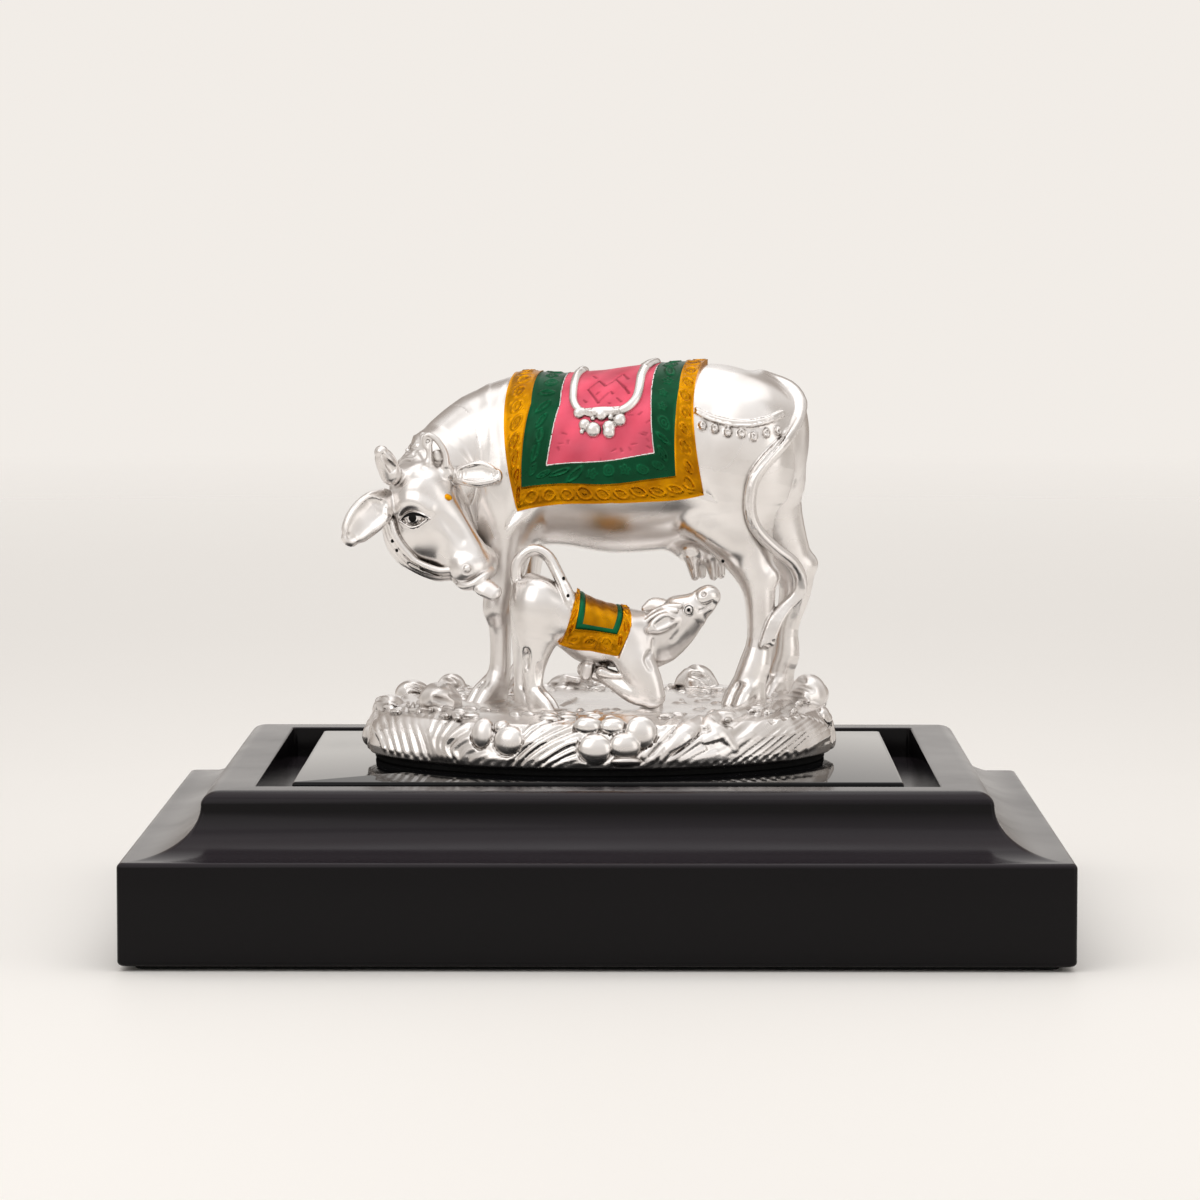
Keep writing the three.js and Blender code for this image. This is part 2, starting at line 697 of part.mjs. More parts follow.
// The plinth's outline from its underside, over the cove and the rim, down to the recess floor
function plinthProfile() {
  const foot = arc(2, (turn) => [
    EDGE_ROUND * (1 - Math.sin(turn)),
    FELT_THICK + EDGE_ROUND * (1 - Math.cos(turn)),
  ]);
  const block = arc(3, (turn) => [
    EDGE_ROUND * (1 - Math.cos(turn)),
    BLOCK_TOP - EDGE_ROUND * (1 - Math.sin(turn)),
  ]);
  const coveStart = EDGE_ROUND + 1;
  const cove = arc(7, (turn) => [
    coveStart + (COVE_INSET - coveStart) * Math.sin(turn),
    COVE_TOP - (COVE_TOP - BLOCK_TOP) * Math.cos(turn),
  ]);
  const roll = arc(5, (turn) => [
    RIM_OUTER_INSET - (RIM_OUTER_INSET - COVE_INSET) * Math.cos(turn),
    COVE_TOP + (RIM_TOP - COVE_TOP) * Math.sin(turn),
  ]);
  const recess = [
    [RIM_INNER_INSET - 0.4, RIM_TOP],
    [RIM_INNER_INSET, RIM_TOP - 0.4],
    [RIM_INNER_INSET, RECESS_FLOOR],
  ];
  return [...foot, ...block, ...cove, ...roll.slice(1), ...recess];
}

function plinth() {
  const rings = plinthProfile().map(([inset, z]) => roundedRing(
    PLINTH_WIDTH / 2 - inset,
    PLINTH_DEPTH / 2 - inset,
    EDGE_ROUND,
    z,
  ));
  return skin(rings, new THREE.Vector3(0, 0, FELT_THICK), new THREE.Vector3(0, 0, RECESS_FLOOR));
}

function slab(halfX, halfY, low, high, edge) {
  const rings = [
    roundedRing(halfX - edge, halfY - edge, EDGE_ROUND, low),
    roundedRing(halfX, halfY, EDGE_ROUND, low + edge),
    roundedRing(halfX, halfY, EDGE_ROUND, high - edge),
    roundedRing(halfX - edge, halfY - edge, EDGE_ROUND, high),
  ];
  return skin(rings, new THREE.Vector3(0, 0, low), new THREE.Vector3(0, 0, high));
}

function plate() {
  const inset = RIM_INNER_INSET + CHANNEL;
  return slab(PLINTH_WIDTH / 2 - inset, PLINTH_DEPTH / 2 - inset, RECESS_FLOOR, RIM_TOP, PLATE_EDGE);
}

function felt() {
  return slab(PLINTH_WIDTH / 2 - FELT_INSET, PLINTH_DEPTH / 2 - FELT_INSET, 0, FELT_THICK, 0.15);
}

function footPad() {
  const halfWidth = GROUND_HALF_WIDTH - PAD_INSET;
  const halfDepth = GROUND_HALF_DEPTH - PAD_INSET;
  const outline = new THREE.EllipseCurve(0, 0, halfWidth, halfDepth).getPoints(PAD_STEPS);
  const shape = new THREE.Shape(outline.slice(0, -1));
  return new THREE.ExtrudeGeometry(shape, { depth: PAD_THICK, bevelEnabled: false });
}

const lacquer = new THREE.MeshStandardMaterial({ color: '#15120f', roughness: 0.15, metalness: 0 });
const polished = new THREE.MeshStandardMaterial({ color: '#0c0c0d', roughness: 0.05, metalness: 0 });
const rubberBlack = new THREE.MeshStandardMaterial({ color: '#101010', roughness: 0.6, metalness: 0 });
const feltBlack = new THREE.MeshStandardMaterial({ color: '#0b0b0b', roughness: 0.95, metalness: 0 });
const silver = new THREE.MeshStandardMaterial({ color: '#d9d2cb', roughness: 0.25, metalness: 1 });

function piece(name, geometry, material, height = 0) {
  const mesh = new THREE.Mesh(geometry, material);
  mesh.name = name;
  mesh.position.z = height;
  return mesh;
}

const group = new THREE.Group();
group.add(
  piece('plinth', plinth(), lacquer),
  piece('plate', plate(), polished),
  piece('felt', felt(), feltBlack),
  piece('foot_pad', footPad(), rubberBlack, RIM_TOP),
  piece('cow_and_calf', geometryOf(casting()), silver, RIM_TOP),
);

export default group;
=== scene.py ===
# Looks of the cow and calf statue. Sizes are millimetres in the statue's own frame, with z measured from the
# top of the plate; they become metres when a mesh is made. Pairs of numbers above about 340 are places in the
# 1200 x 1200 photograph, carried onto the forms along the fitted camera's lines of sight.
import math

import bpy
import numpy as np
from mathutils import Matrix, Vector


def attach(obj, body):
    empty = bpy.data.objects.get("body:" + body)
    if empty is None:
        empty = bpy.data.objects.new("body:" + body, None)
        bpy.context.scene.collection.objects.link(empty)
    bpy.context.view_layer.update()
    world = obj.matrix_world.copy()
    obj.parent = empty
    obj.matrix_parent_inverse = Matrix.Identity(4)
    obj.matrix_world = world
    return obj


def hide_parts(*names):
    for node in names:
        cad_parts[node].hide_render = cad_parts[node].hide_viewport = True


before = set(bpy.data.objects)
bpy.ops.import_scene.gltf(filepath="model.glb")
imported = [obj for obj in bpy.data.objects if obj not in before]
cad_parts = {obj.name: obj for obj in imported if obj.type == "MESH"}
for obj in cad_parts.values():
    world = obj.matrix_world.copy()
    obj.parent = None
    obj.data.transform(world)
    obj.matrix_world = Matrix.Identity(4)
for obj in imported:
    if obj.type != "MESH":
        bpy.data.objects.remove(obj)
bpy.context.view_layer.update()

MM = 0.001
PLATE_TOP = 41.0
OCTANT = np.array([[i & 1, i >> 1 & 1, i >> 2] for i in range(8)])
CELL_EDGES = [(a, a | bit) for a in range(8) for bit in (1, 2, 4) if not a & bit]
FAR = 60.0  # what a form counts as where it is too far away to matter
CHUNK = 1024  # points weighed at a time
SORT_FROM, SORT_CELL, SORT_BITS = 200, 2.0, 8  # the grid that keeps neighbouring points in one chunk
SLACK = 1.5  # room round the boxes of a limb's parts
LINE_RADIUS, LINE_REACH = 0.1, 2.2  # the axis of a relief line, and its reach in widths
KEY_BITS = 20
KEY_MASK = (1 << KEY_BITS) - 1
BAND, BAND_MORE = 2.6, 0.6  # cells kept round a surface, also where its field is steeper than distance
SIDEWAYS, TILTED = (0.31, 0.93, 0.2), (0.3, 1, 0.2)  # directions that no limb given them runs along


# ---- shapes as distance fields ----
def unit(v):
    """Vectors of length one."""
    v = np.asarray(v, float)
    return v / np.linalg.norm(v, axis=-1, keepdims=True)


def spline(rows, per):
    """Rows resampled by a curve that goes through all of them, so many steps between two."""
    rows = np.asarray(rows, float)
    ends = np.vstack([2 * rows[0] - rows[1], rows, 2 * rows[-1] - rows[-2]])
    t = np.linspace(0, 1, per, endpoint=False)[:, None]
    parts = []
    for i in range(len(rows) - 1):
        p0, p1, p2, p3 = ends[i:i + 4]
        v0, v1 = (p2 - p0) / 2, (p3 - p1) / 2
        parts.append((2 * p1 - 2 * p2 + v0 + v1) * t**3 + (3 * p2 - 3 * p1 - 2 * v0 - v1) * t**2 + v0 * t + p1)
    return np.vstack(parts + [rows[-1:]])


def soft_min(a, b, k):
    """The smaller of two distances, rounded where they differ by less than k."""
    h = np.maximum(k - np.abs(a - b), 0) / k
    return np.minimum(a, b) - h * h * k / 4


def bump(x):
    """One at zero, falling to nothing within two either way."""
    return np.exp(-x * x)


class Limb:
    """A rounded form through stations of [x, y, z, across, fore]."""

    def __init__(self, stations, toward=(0, 0, 1), per=3):
        rows = spline(stations, per) if len(stations) > 2 else np.asarray(stations, float)
        self.c, self.r = rows[:, :3], np.maximum(rows[:, 3:5], 0.05)
        runs = unit(np.diff(self.c, axis=0) + 1e-9)
        along = unit(np.vstack([runs[:1], runs[:-1] + runs[1:], runs[-1:]]))
        across = unit(np.cross(np.asarray(toward, float), along))
        fore = np.cross(along, across)
        reach = self.r.max(1)[:, None]
        low, high = self.c - reach, self.c + reach
        self.lows = np.minimum(low[:-1], low[1:])
        self.highs = np.maximum(high[:-1], high[1:])
        self.low, self.high = self.lows.min(0), self.highs.max(0)
        self.along, self.across, self.fore = along, across, fore
        self.step = np.diff(self.c, axis=0)
        self.span = np.maximum((self.step**2).sum(1), 1e-9)

    def dist(self, p, low, high, margin):
        near = np.nonzero(np.all((self.lows - margin - SLACK < high) & (self.highs + margin + SLACK > low), 1))[0]
        if not len(near):
            return np.full(len(p), FAR)
        step, base = self.step[near], self.c[near]
        t = (p @ step.T - (base * step).sum(1)) / self.span[near]
        off = (p * p).sum(1)[:, None] - 2 * p @ base.T + (base * base).sum(1)
        held = np.clip(t, 0, 1)
        off += self.span[near] * held * (held - 2 * t)
        i = near[off.argmin(1)]
        a, b = self.past(p, i), -self.past(p, i + 1)
        last = len(self.span) - 1
        i = np.clip(i + (b < 0) - ((a < 0) & (b >= 0)), 0, last)
        a, b = self.past(p, i), -self.past(p, i + 1)
        tip = ((i == 0) & (a < 0)) | ((i == last) & (b < 0))
        share = np.clip(a / np.maximum(a + b, 1e-6), 0, 1)[:, None]
        gap = p - self.c[i] - share * self.step[i]
        size = self.r[i] + (self.r[i + 1] - self.r[i]) * share
        u = (gap * (self.across[i] + (self.across[i + 1] - self.across[i]) * share)).sum(1)
        v = (gap * (self.fore[i] + (self.fore[i + 1] - self.fore[i]) * share)).sum(1)
        square = (gap * gap).sum(1)
        flat = np.maximum(u * u + v * v, 1e-9)
        skew = (u / size[:, 0])**2 + (v / size[:, 1])**2
        rest = np.maximum(square - u * u - v * v, 0)
        k = np.where(tip, skew + 4 * rest / (size[:, 0] + size[:, 1])**2, skew * square / flat)
        return np.sqrt(np.maximum(square, 1e-9)) * (1 - 1 / (np.sqrt(k) + 1e-6))

    def past(self, p, i):
        """How far points lie beyond the plane square to the axis at a station."""
        return ((p - self.c[i]) * self.along[i]).sum(1)


class Rings:
    """Rings square to one axis: rows of [along, centre, half width, rise, drop]."""

    def __init__(self, origin, along, up, rows, caps, power=2.0):
        self.o, self.d, self.u = np.asarray(origin, float), unit(along), unit(up)
        self.s = np.cross(self.d, self.u)
        self.rows = fine = spline(rows, 16)
        self.caps, self.power = caps, power
        ends = np.array([fine[0, 0] - caps[0], fine[-1, 0] + caps[1]])
        reach = fine[:, 2:].max()
        points = [self.o + self.d * e + self.u * fine[:, 1].mean() for e in ends]
        spread = reach + np.abs(fine[:, 1] - fine[:, 1].mean()).max()
        self.low, self.high = np.min(points, 0) - spread, np.max(points, 0) + spread

    def at(self, t):
        """Centre, half width, rise and drop at places along the axis."""
        return [np.interp(t, self.rows[:, 0], self.rows[:, i]) for i in (1, 2, 3, 4)]

    def dist(self, p, *_):
        q = p - self.o
        t = q @ self.d
        tc = np.clip(t, self.rows[0, 0], self.rows[-1, 0])
        w = t - tc
        centre, width, rise, drop = self.at(tc)
        u = q @ self.s
        v = q @ self.u - centre
        height = np.where(v > 0, rise, drop)
        cap = np.where(w < 0, self.caps[0], self.caps[1])
        n = self.power
        if n == 2.0:
            k = np.sqrt((u / width)**2 + (v / height)**2 + (w / cap)**2)
        else:
            k = (np.abs(u / width)**n + np.abs(v / height)**n + np.abs(w / cap)**n)**(1 / n)
        m = np.sqrt(u * u + v * v + w * w) + 1e-6
        return m - m / np.maximum(k, 1e-6)


class Lump:
    """An ellipsoid with its own axes."""

    def __init__(self, centre, radii, x_axis=(1, 0, 0), z_axis=(0, 0, 1)):
        self.o, self.radii = np.asarray(centre, float), np.asarray(radii, float)
        x = unit(x_axis)
        z = unit(np.asarray(z_axis, float) - x * np.dot(z_axis, x))
        self.axes = np.stack([x, np.cross(z, x), z], 1)
        self.low, self.high = self.o - self.radii.max(), self.o + self.radii.max()

    def dist(self, p, *_):
        q = (p - self.o) @ self.axes
        k = np.sqrt(((q / self.radii)**2).sum(1))
        g = np.sqrt(((q / self.radii**2)**2).sum(1)) + 1e-6
        return np.where(k < 0.3, -0.7 * self.radii.min(), k * (k - 1) / g)


class Field:
    """An ordered list of forms joined, cut and engraved."""

    def __init__(self):
        self.steps, self.ready = [], -1

    def add(self, form, k=0.6):
        self.steps.append(("add", form, k))
        return self

    def cut(self, form, k):
        self.steps.append(("cut", form, k))

    def raised(self, points, height, width, radius=LINE_RADIUS):
        """A line of relief through points; a negative height is a groove."""
        self.steps.append(("line", path(points, radius), (height, width)))

    def shaped(self, change):
        self.steps.append(("change", change, None))

    def close(self):
        """Gathers the boxes and blends of the forms, once the list is complete."""
        boxed = [s for s in self.steps if s[0] != "change"]
        self.lows = np.array([s[1].low for s in boxed])
        self.highs = np.array([s[1].high for s in boxed])
        self.blend = np.array([s[2] if s[0] != "line" else LINE_REACH * s[2][1] for s in boxed])
        self.ready = len(self.steps)

    def __call__(self, p, reach=0.4):
        """Distances at points, right where they are below the reach."""
        if self.ready != len(self.steps):
            self.close()
        grid = np.floor((p + SORT_FROM) / SORT_CELL).astype(np.int64)
        code = np.zeros(len(p), np.int64)
        for bit in range(SORT_BITS):
            for axis in range(3):
                code |= (grid[:, axis] >> bit & 1) << (3 * bit + axis)
        order = np.argsort(code, kind="stable")
        out = np.empty(len(p))
        for start in range(0, len(p), CHUNK):
            pick = order[start:start + CHUNK]
            out[pick] = self.chunk(p[pick], reach)
        return out

    def chunk(self, p, reach):
        low, high = p.min(0), p.max(0)
        margins = np.maximum(self.blend, reach)
        near = np.all((self.lows - margins[:, None] < high) & (self.highs + margins[:, None] > low), 1)
        d = np.full(len(p), FAR)
        index = -1
        for kind, form, k in self.steps:
            if kind == "change":
                d = form(p, d)
                continue
            index += 1
            if not near[index]:
                continue
            e = form.dist(p, low, high, margins[index])
            if kind == "add":
                d = soft_min(d, e, k)
            elif kind == "cut":
                d = -soft_min(-d, e, k)
            else:
                d = d - k[0] * bump((e + form.r[0, 0]) / k[1])
        return d


def normals_of(field, p, eps=0.1):
    """The directions in which a field grows."""
    corners = np.array([[1, 1, 1], [1, -1, -1], [-1, 1, -1], [-1, -1, 1]]) * eps
    return unit(sum(c * field(p + c, 0.3)[:, None] for c in corners) + 1e-9)


def normal_at(field, spot):
    return normals_of(field, spot[None])[0]


def pack_key(ijk):
    """One whole number for each cell of a grid."""
    i, j, k = np.moveaxis(ijk.astype(np.int64), -1, 0)
    return i << 2 * KEY_BITS | j << KEY_BITS | k


def sculpt(field, low, high, cell, depth=3):
    """Vertices and quads of the field's zero surface."""
    low, high = np.asarray(low, float), np.asarray(high, float)
    size = cell * 2**depth
    count = np.ceil((high - low) / size).astype(int)
    cells = np.stack(np.meshgrid(*[np.arange(n) for n in count], indexing="ij"), -1).reshape(-1, 3)
    for level in range(depth, -1, -1):
        size = cell * 2**level
        reach = BAND * size + BAND_MORE
        near = np.abs(field(low + (cells + 0.5) * size, reach)) < reach
        cells = cells[near]
        if level:
            cells = (cells[:, None] * 2 + OCTANT[None]).reshape(-1, 3)
    keys = pack_key(cells[:, None] + OCTANT[None])
    unique, back = np.unique(keys.ravel(), return_inverse=True)
    spots = np.stack([unique >> 2 * KEY_BITS, unique >> KEY_BITS & KEY_MASK, unique & KEY_MASK], 1)
    value = field(low + spots * cell, 2 * cell)[back].reshape(-1, 8)
    inside = value < 0
    live = inside.any(1) & ~inside.all(1)
    cells, value, inside = cells[live], value[live], inside[live]
    total, crossings = np.zeros((len(cells), 3)), np.zeros(len(cells))
    for a, b in CELL_EDGES:
        cross = inside[:, a] != inside[:, b]
        t = np.where(cross, value[:, a] / np.where(cross, value[:, a] - value[:, b], 1), 0)
        total += np.where(cross[:, None], OCTANT[a] + (OCTANT[b] - OCTANT[a]) * t[:, None], 0)
        crossings += cross
    verts = low + (cells + total / crossings[:, None]) * cell
    keys = pack_key(cells)
    order = np.argsort(keys)
    ranked = keys[order]

    def find(ijk):
        key = pack_key(ijk)
        place = np.clip(np.searchsorted(ranked, key), 0, len(ranked) - 1)
        return np.where(ranked[place] == key, order[place], -1)

    quads = []
    for axis in range(3):
        bit = 1 << axis
        e1, e2 = np.zeros(3, int), np.zeros(3, int)
        e1[(axis + 1) % 3], e2[(axis + 2) % 3] = 1, 1
        pick = np.nonzero(inside[:, 0] != inside[:, bit])[0]
        base = cells[pick]
        ring = np.stack([pick, find(base - e1), find(base - e1 - e2), find(base - e2)], 1)
        flip = ~inside[pick, 0]
        ring[flip] = ring[flip][:, ::-1]
        quads.append(ring[(ring >= 0).all(1)])
    quads = np.vstack(quads)
    slopes = [value[:, OCTANT[:, a] == 1].mean(1) - value[:, OCTANT[:, a] == 0].mean(1) for a in range(3)]
    slopes = np.stack(slopes, 1) / cell
    for _ in range(2):
        move = -(field(verts, 0.3) / np.maximum((slopes * slopes).sum(1), 0.2))[:, None] * slopes
        verts = verts + np.clip(move, -0.5 * cell, 0.5 * cell)
    return verts, quads


# ---- measures shared with the solids, in the statue's frame ----
COW_MIDLINE, CALF_MIDLINE = 4.0, -20.0
GROUND_HALF = np.array([61.2, 52.0])
COW_TRUNK = [[-28, 72.5, 13.4, 22.4, 20.5], [-20, 75, 16.4, 23.3, 21.3], [-10, 76, 17.4, 22, 21.8],
    [2, 76, 18.5, 22.8, 23.6], [12, 77, 18.8, 23.2, 24.4], [22, 78, 18, 23, 24], [33, 80, 16.5, 20.8, 21.5],
    [43, 82, 14, 15.4, 18], [50, 83, 9.5, 10.5, 13]]
CALF_TRUNK = [[-20, 42, 4.6, 5.6, 6], [-17, 41, 6, 7.8, 8], [-11, 39, 7, 7.7, 8.6], [-5.6, 36.5, 7.2, 7.2, 10],
    [0, 34.5, 7, 6.6, 9.4], [7, 33, 6.4, 6.2, 7.6], [12, 32, 5, 5.4, 6]]
NECK = [[-17, 4, 78, 13.5, 18.5], [-28, 3, 77.5, 13, 17.6], [-37, 0, 74.6, 11.5, 13.6], [-42.2, -4.6, 70, 9.6, 11],
    [-44.4, -9, 66.8, 8, 9.2]]
NAPE_BAND = [[-39.2, -1.8, 72.8, 11.6, 13.4], [-42.2, -4.6, 70, 10.4, 11.8]]
cow_trunk = Rings((0, COW_MIDLINE, 0), (1, 0, 0), (0, 0, 1), COW_TRUNK, (5, 4))
calf_trunk = Rings((0, CALF_MIDLINE, 0), (1, 0, 0), (0, 0, 1), CALF_TRUNK, (2.6, 3))


CLOTH_LONG, CLOTH_DEEP, HEM_PART = 50, 60, 1.04  # mm from front to rear and from spine to hem, and the hem's part
EDGE_WIDTH, FREE_BEYOND = 1.6, 12  # the strip where the edge lifts, and how far out the trunk is free again


class Cloth:
    """A cloth round a trunk: along runs from its front to its rear edge, part from hem to hem over the spine."""

    def __init__(self, trunk, midline, front, rear, hems, sag=0.0, slope=0.36):
        self.trunk, self.midline, self.front, self.rear = trunk, midline, front, rear
        self.hems, self.sag, self.slope = hems, sag, slope

    def point(self, along, part, lift):
        """Points at a height over the trunk."""
        x = self.front(part) + (self.rear(part) - self.front(part)) * along
        hem = self.hems[0] + (self.hems[1] - self.hems[0]) * along - self.sag * np.sin(math.pi * along)
        turn = part * hem * math.pi
        centre, width, rise, drop = self.trunk.at(x)
        height = np.where(np.cos(turn) > 0, rise, drop)
        y = self.midline + (width + lift) * np.sin(turn)
        return np.stack([x + 0 * y, y, centre + (height + lift) * np.cos(turn)], -1)

    def locate(self, p):
        """The (along, part) of points near the cloth."""
        centre, width, rise, drop = self.trunk.at(p[:, 0])
        height = np.where(p[:, 2] > centre, rise, drop)
        turn = np.arctan2((p[:, 1] - self.midline) / width, (p[:, 2] - centre) / height) / math.pi
        part = turn / np.mean(self.hems)
        for _ in range(2):
            along = (p[:, 0] - self.front(part)) / (self.rear(part) - self.front(part))
            mid = np.clip(along, 0, 1)
            part = turn / (self.hems[0] + (self.hems[1] - self.hems[0]) * mid - self.sag * np.sin(math.pi * mid))
        return along, part

    def under(self, p, d):
        """Keeps what is below the cloth from standing through it, and lets it rise again outside the edge."""
        along, part = self.locate(p)
        depth = np.minimum(np.minimum(along, 1 - along) * CLOTH_LONG, (HEM_PART - np.abs(part)) * CLOTH_DEEP)
        out = np.maximum(-depth, 0)
        allowed = 0.1 + 0.6 * np.clip(1 - depth / EDGE_WIDTH, 0, 1) + self.slope * (out + 0.45 * out * out)
        skin = self.trunk.dist(p)
        return np.where(out < FREE_BEYOND, -soft_min(-d, allowed - skin, np.minimum(allowed, 1)), d)


CALF_HEMS, CALF_SAG, CALF_SLOPE = (0.74, 0.655), 0.035, 1.8
cow_cloth = Cloth(cow_trunk, COW_MIDLINE, lambda q: -21.5 - 3 * np.sin(math.pi * np.abs(q)),
    lambda q: 27.8 - 3.4 * np.sin(math.pi * np.abs(q)) - 1.6 * q * q, (0.63, 0.61))
calf_cloth = Cloth(calf_trunk, CALF_MIDLINE, lambda q: -5.6 - 4.2 * q * q,
    lambda q: 7.0 + 1.6 * np.sin(math.pi * np.abs(q)) - 1.8 * q * q, CALF_HEMS, CALF_SAG, CALF_SLOPE)

# the camera fitted to the photograph, with lens and sensor in mm and the picture in pixels
CAMERA = np.array([9.607, -1286.12, 142.48])
PITCH, YAW, LENS, SENSOR, PICTURE = math.radians(4.541), math.radians(0.426), 150, 36, 1200
IN_FRONT = -62  # a depth before all of the statue
MARCH_STEPS, MARCH_SHARE, MARCH_ERROR = 70, 0.8, 0.02
AHEAD = np.array([-math.sin(YAW) * math.cos(PITCH), math.cos(YAW) * math.cos(PITCH), -math.sin(PITCH)])
RIGHT = np.array([math.cos(YAW), math.sin(YAW), 0])


def sight(pixels):
    """Directions from the camera through places of the photograph."""
    q = (np.atleast_2d(pixels)[:, :2] - PICTURE / 2) * SENSOR / (LENS * PICTURE)
    return unit(AHEAD + RIGHT * q[:, :1] - np.cross(RIGHT, AHEAD) * q[:, 1:])


def shot(x, y, depth):
    """The point at a depth y of the statue that shows at one place of the photograph."""
    ray = sight((x, y))[0]
    return CAMERA + ray * (depth - CAMERA[1]) / ray[1]


def met(field, p, ray, lift=0.0):
    """Where rays from points outside meet a form."""
    for _ in range(MARCH_STEPS):
        d = np.clip(field(p, 3.0) - lift, -1, 3)
        p = p + ray * (d * MARCH_SHARE)[:, None]
        if np.abs(d).max() < MARCH_ERROR:
            break
    return p


def seen(field, pixels, lift=0.0):
    """Where the lines of sight through places of the photograph meet a form."""
    ray = sight(pixels)
    return met(field, CAMERA + ray * ((IN_FRONT - CAMERA[1]) / ray[:, 1:2]), ray, lift)


HEAD_ALONG = unit((0.5, -0.15, -0.853))
HEAD_FACE = unit(np.array([0.66, -0.6, 0.44]) - HEAD_ALONG * (HEAD_ALONG @ np.array([0.66, -0.6, 0.44])))
HEAD_SIDE = np.cross(HEAD_ALONG, HEAD_FACE)
HEAD_TOP = shot(426.5, 517, -10.5) + HEAD_FACE * 10.2 - HEAD_ALONG * 13.5
SKULL = [[2.5, 6.4, -1.2, -13], [6.5, 8.6, 1.2, -17.5], [13.5, 9.0, 0.7, -21], [18.5, 8.7, 0.1, -20.8],
    [23.5, 7.2, -0.2, -17.9], [28.5, 6.5, 0.1, -13], [32.5, 6.2, 0, -10.4], [34.6, 5, -1.2, -9]]


def on_head(along, side, face):
    """A point given along the face, to its side and off it."""
    return HEAD_TOP + HEAD_ALONG * along + HEAD_SIDE * side + HEAD_FACE * face


def head_rows(rows):
    """Rows of [along, side, face, across, fore] on the head as stations in the statue's frame."""
    return [[*on_head(a, s, f), u, v] for a, s, f, u, v in rows]


def path(points, radius):
    """A round limb through points."""
    return tapered(points, [radius] * len(points), toward=SIDEWAYS)


def tapered(points, sizes, flat=1.0, toward=(0, 0, 1)):
    """A limb through points, each with its own size across and a share of that fore."""
    return Limb([[*q, size, size * flat] for q, size in zip(points, sizes)], toward=toward)


def placed(*rows):
    """Rows of (pixel x, pixel y, depth, across, fore) as stations in the statue's frame."""
    return [[*shot(x, y, depth), u, v] for x, y, depth, u, v in rows]


def ball(centre, radius):
    return Lump(centre, (radius, radius, radius))


# ---- the cow's body, legs and tail ----
UP_X = (1, 0, 0)
COW_LEGS = {
    "near_fore": [[-23, -3.5, 70, 7, 9.5], [-24, -4.6, 58, 6.2, 8], [-25, -5, 47, 4.6, 5.6],
                  [-25.6, -5, 39, 3.7, 3.9],
                  [-25.5, -5, 32, 2.7, 2.8], [-25.6, -5, 24, 2.6, 2.7], [-26.2, -5.2, 20.3, 3.3, 3.3],
                  [-27.2, -5.5, 17.2, 3.7, 3.8], [-27.8, -5.8, 13, 4.2, 4.6]],
    "far_fore": [[-20, 11, 70, 7, 9], [-20, 12, 57, 5.6, 6.4], [-20, 12.5, 46, 4.2, 4.4], [-20, 12.6, 37, 3.4, 3.4],
                 [-20, 12.6, 24, 2.5, 2.6], [-20.6, 12.6, 20.3, 3.2, 3.2], [-21.8, 12.6, 13, 4, 4.4]],
    "near_hind": [[37, -2.5, 88, 8, 12], [36, -4.5, 76, 9, 14], [34.2, -5.5, 66, 8, 13.2], [35.6, -6, 58.5, 6.6, 9.8],
                  [38.2, -6.6, 52, 5, 6.8], [40.3, -7.2, 46, 3.9, 4.8], [41.1, -7.6, 40, 3.1, 3.8],
                  [41, -8, 31, 2.6, 3.2],
                  [40, -8.4, 25, 3.3, 4], [38.6, -8.8, 20.6, 3.5, 4.2], [37.4, -9, 13, 4.2, 5.8]],
    "far_hind": [[40, 10, 87, 8, 12], [41, 12, 74, 8.5, 12.5], [41.6, 13.5, 64, 7.4, 11.4], [46, 14.5, 55, 5.4, 8.2],
                 [50.6, 15.4, 46.5, 3.9, 5.2], [50.6, 16, 40, 3.1, 4], [48.6, 16.2, 32, 2.6, 3.2],
                 [48.2, 16.4, 25, 3.2, 3.9],
                 [46.8, 16.6, 20.5, 3.4, 4], [45.4, 16.8, 13, 4.2, 5.4]],
}
COW_TAIL = [(41.5, 4, 97.4), (48.4, 3, 95.2), (51.4, 0, 91.6), (50.8, -5, 87), (47.4, -11, 82), (42.9, -14, 77.4),
    (39.3, -15.4, 72.4), (38.3, -15.4, 66.4), (39.1, -14.6, 61.5), (41.6, -13.4, 57.6), (45.4, -12, 54),
    (49.3, -10, 50.8), (51.4, -8, 46.6), (50.8, -7, 42.4), (47.8, -7.6, 39.4), (45, -9.6, 36), (43.2, -10.8, 30.5)]
HEAD_CUT = (unit((-0.8, -0.6, 0)), np.array([-37, -1.4, 73]))


class Plane:
    """The half space behind a point, seen along its normal."""

    def __init__(self, normal, point):
        self.n, self.o = unit(normal), np.asarray(point, float)
        self.low, self.high = np.full(3, -400.0), np.full(3, 400.0)

    def dist(self, p, *_):
        return (p - self.o) @ self.n


def hoof(field, station, heading, size):
    """A cloven hoof: two toes, the groove between them and a pair of dew claws behind."""
    base, h = np.array(station), unit((*heading, 0))
    s = np.array([-h[1], h[0], 0])
    for side in (-1, 1):
        toe = [[*(base + s * side * 1.7 * size + h * a + np.array([0, 0, up])), u, v] for a, up, u,
            v in ((-1.2, 3.4, 1.9 * size, 1.9), (1.5, 0.6, 2.2 * size, 2.4), (4.4, -2.2, 1.8 * size, 1.6))]
        field.add(Limb(toe, toward=(0, 0, 1)), 0.9)
        field.add(ball(base + s * side * 1.9 * size - h * 3.1 + np.array([0, 0, 3.4]), 1.15 * size), 0.8)
    groove = [base + h * a + np.array([0, 0, up]) for a, up in ((1.6, 3.6), (4.2, 1.4), (6.2, -2.0))]
    field.cut(path(groove, 0.42), 0.7)


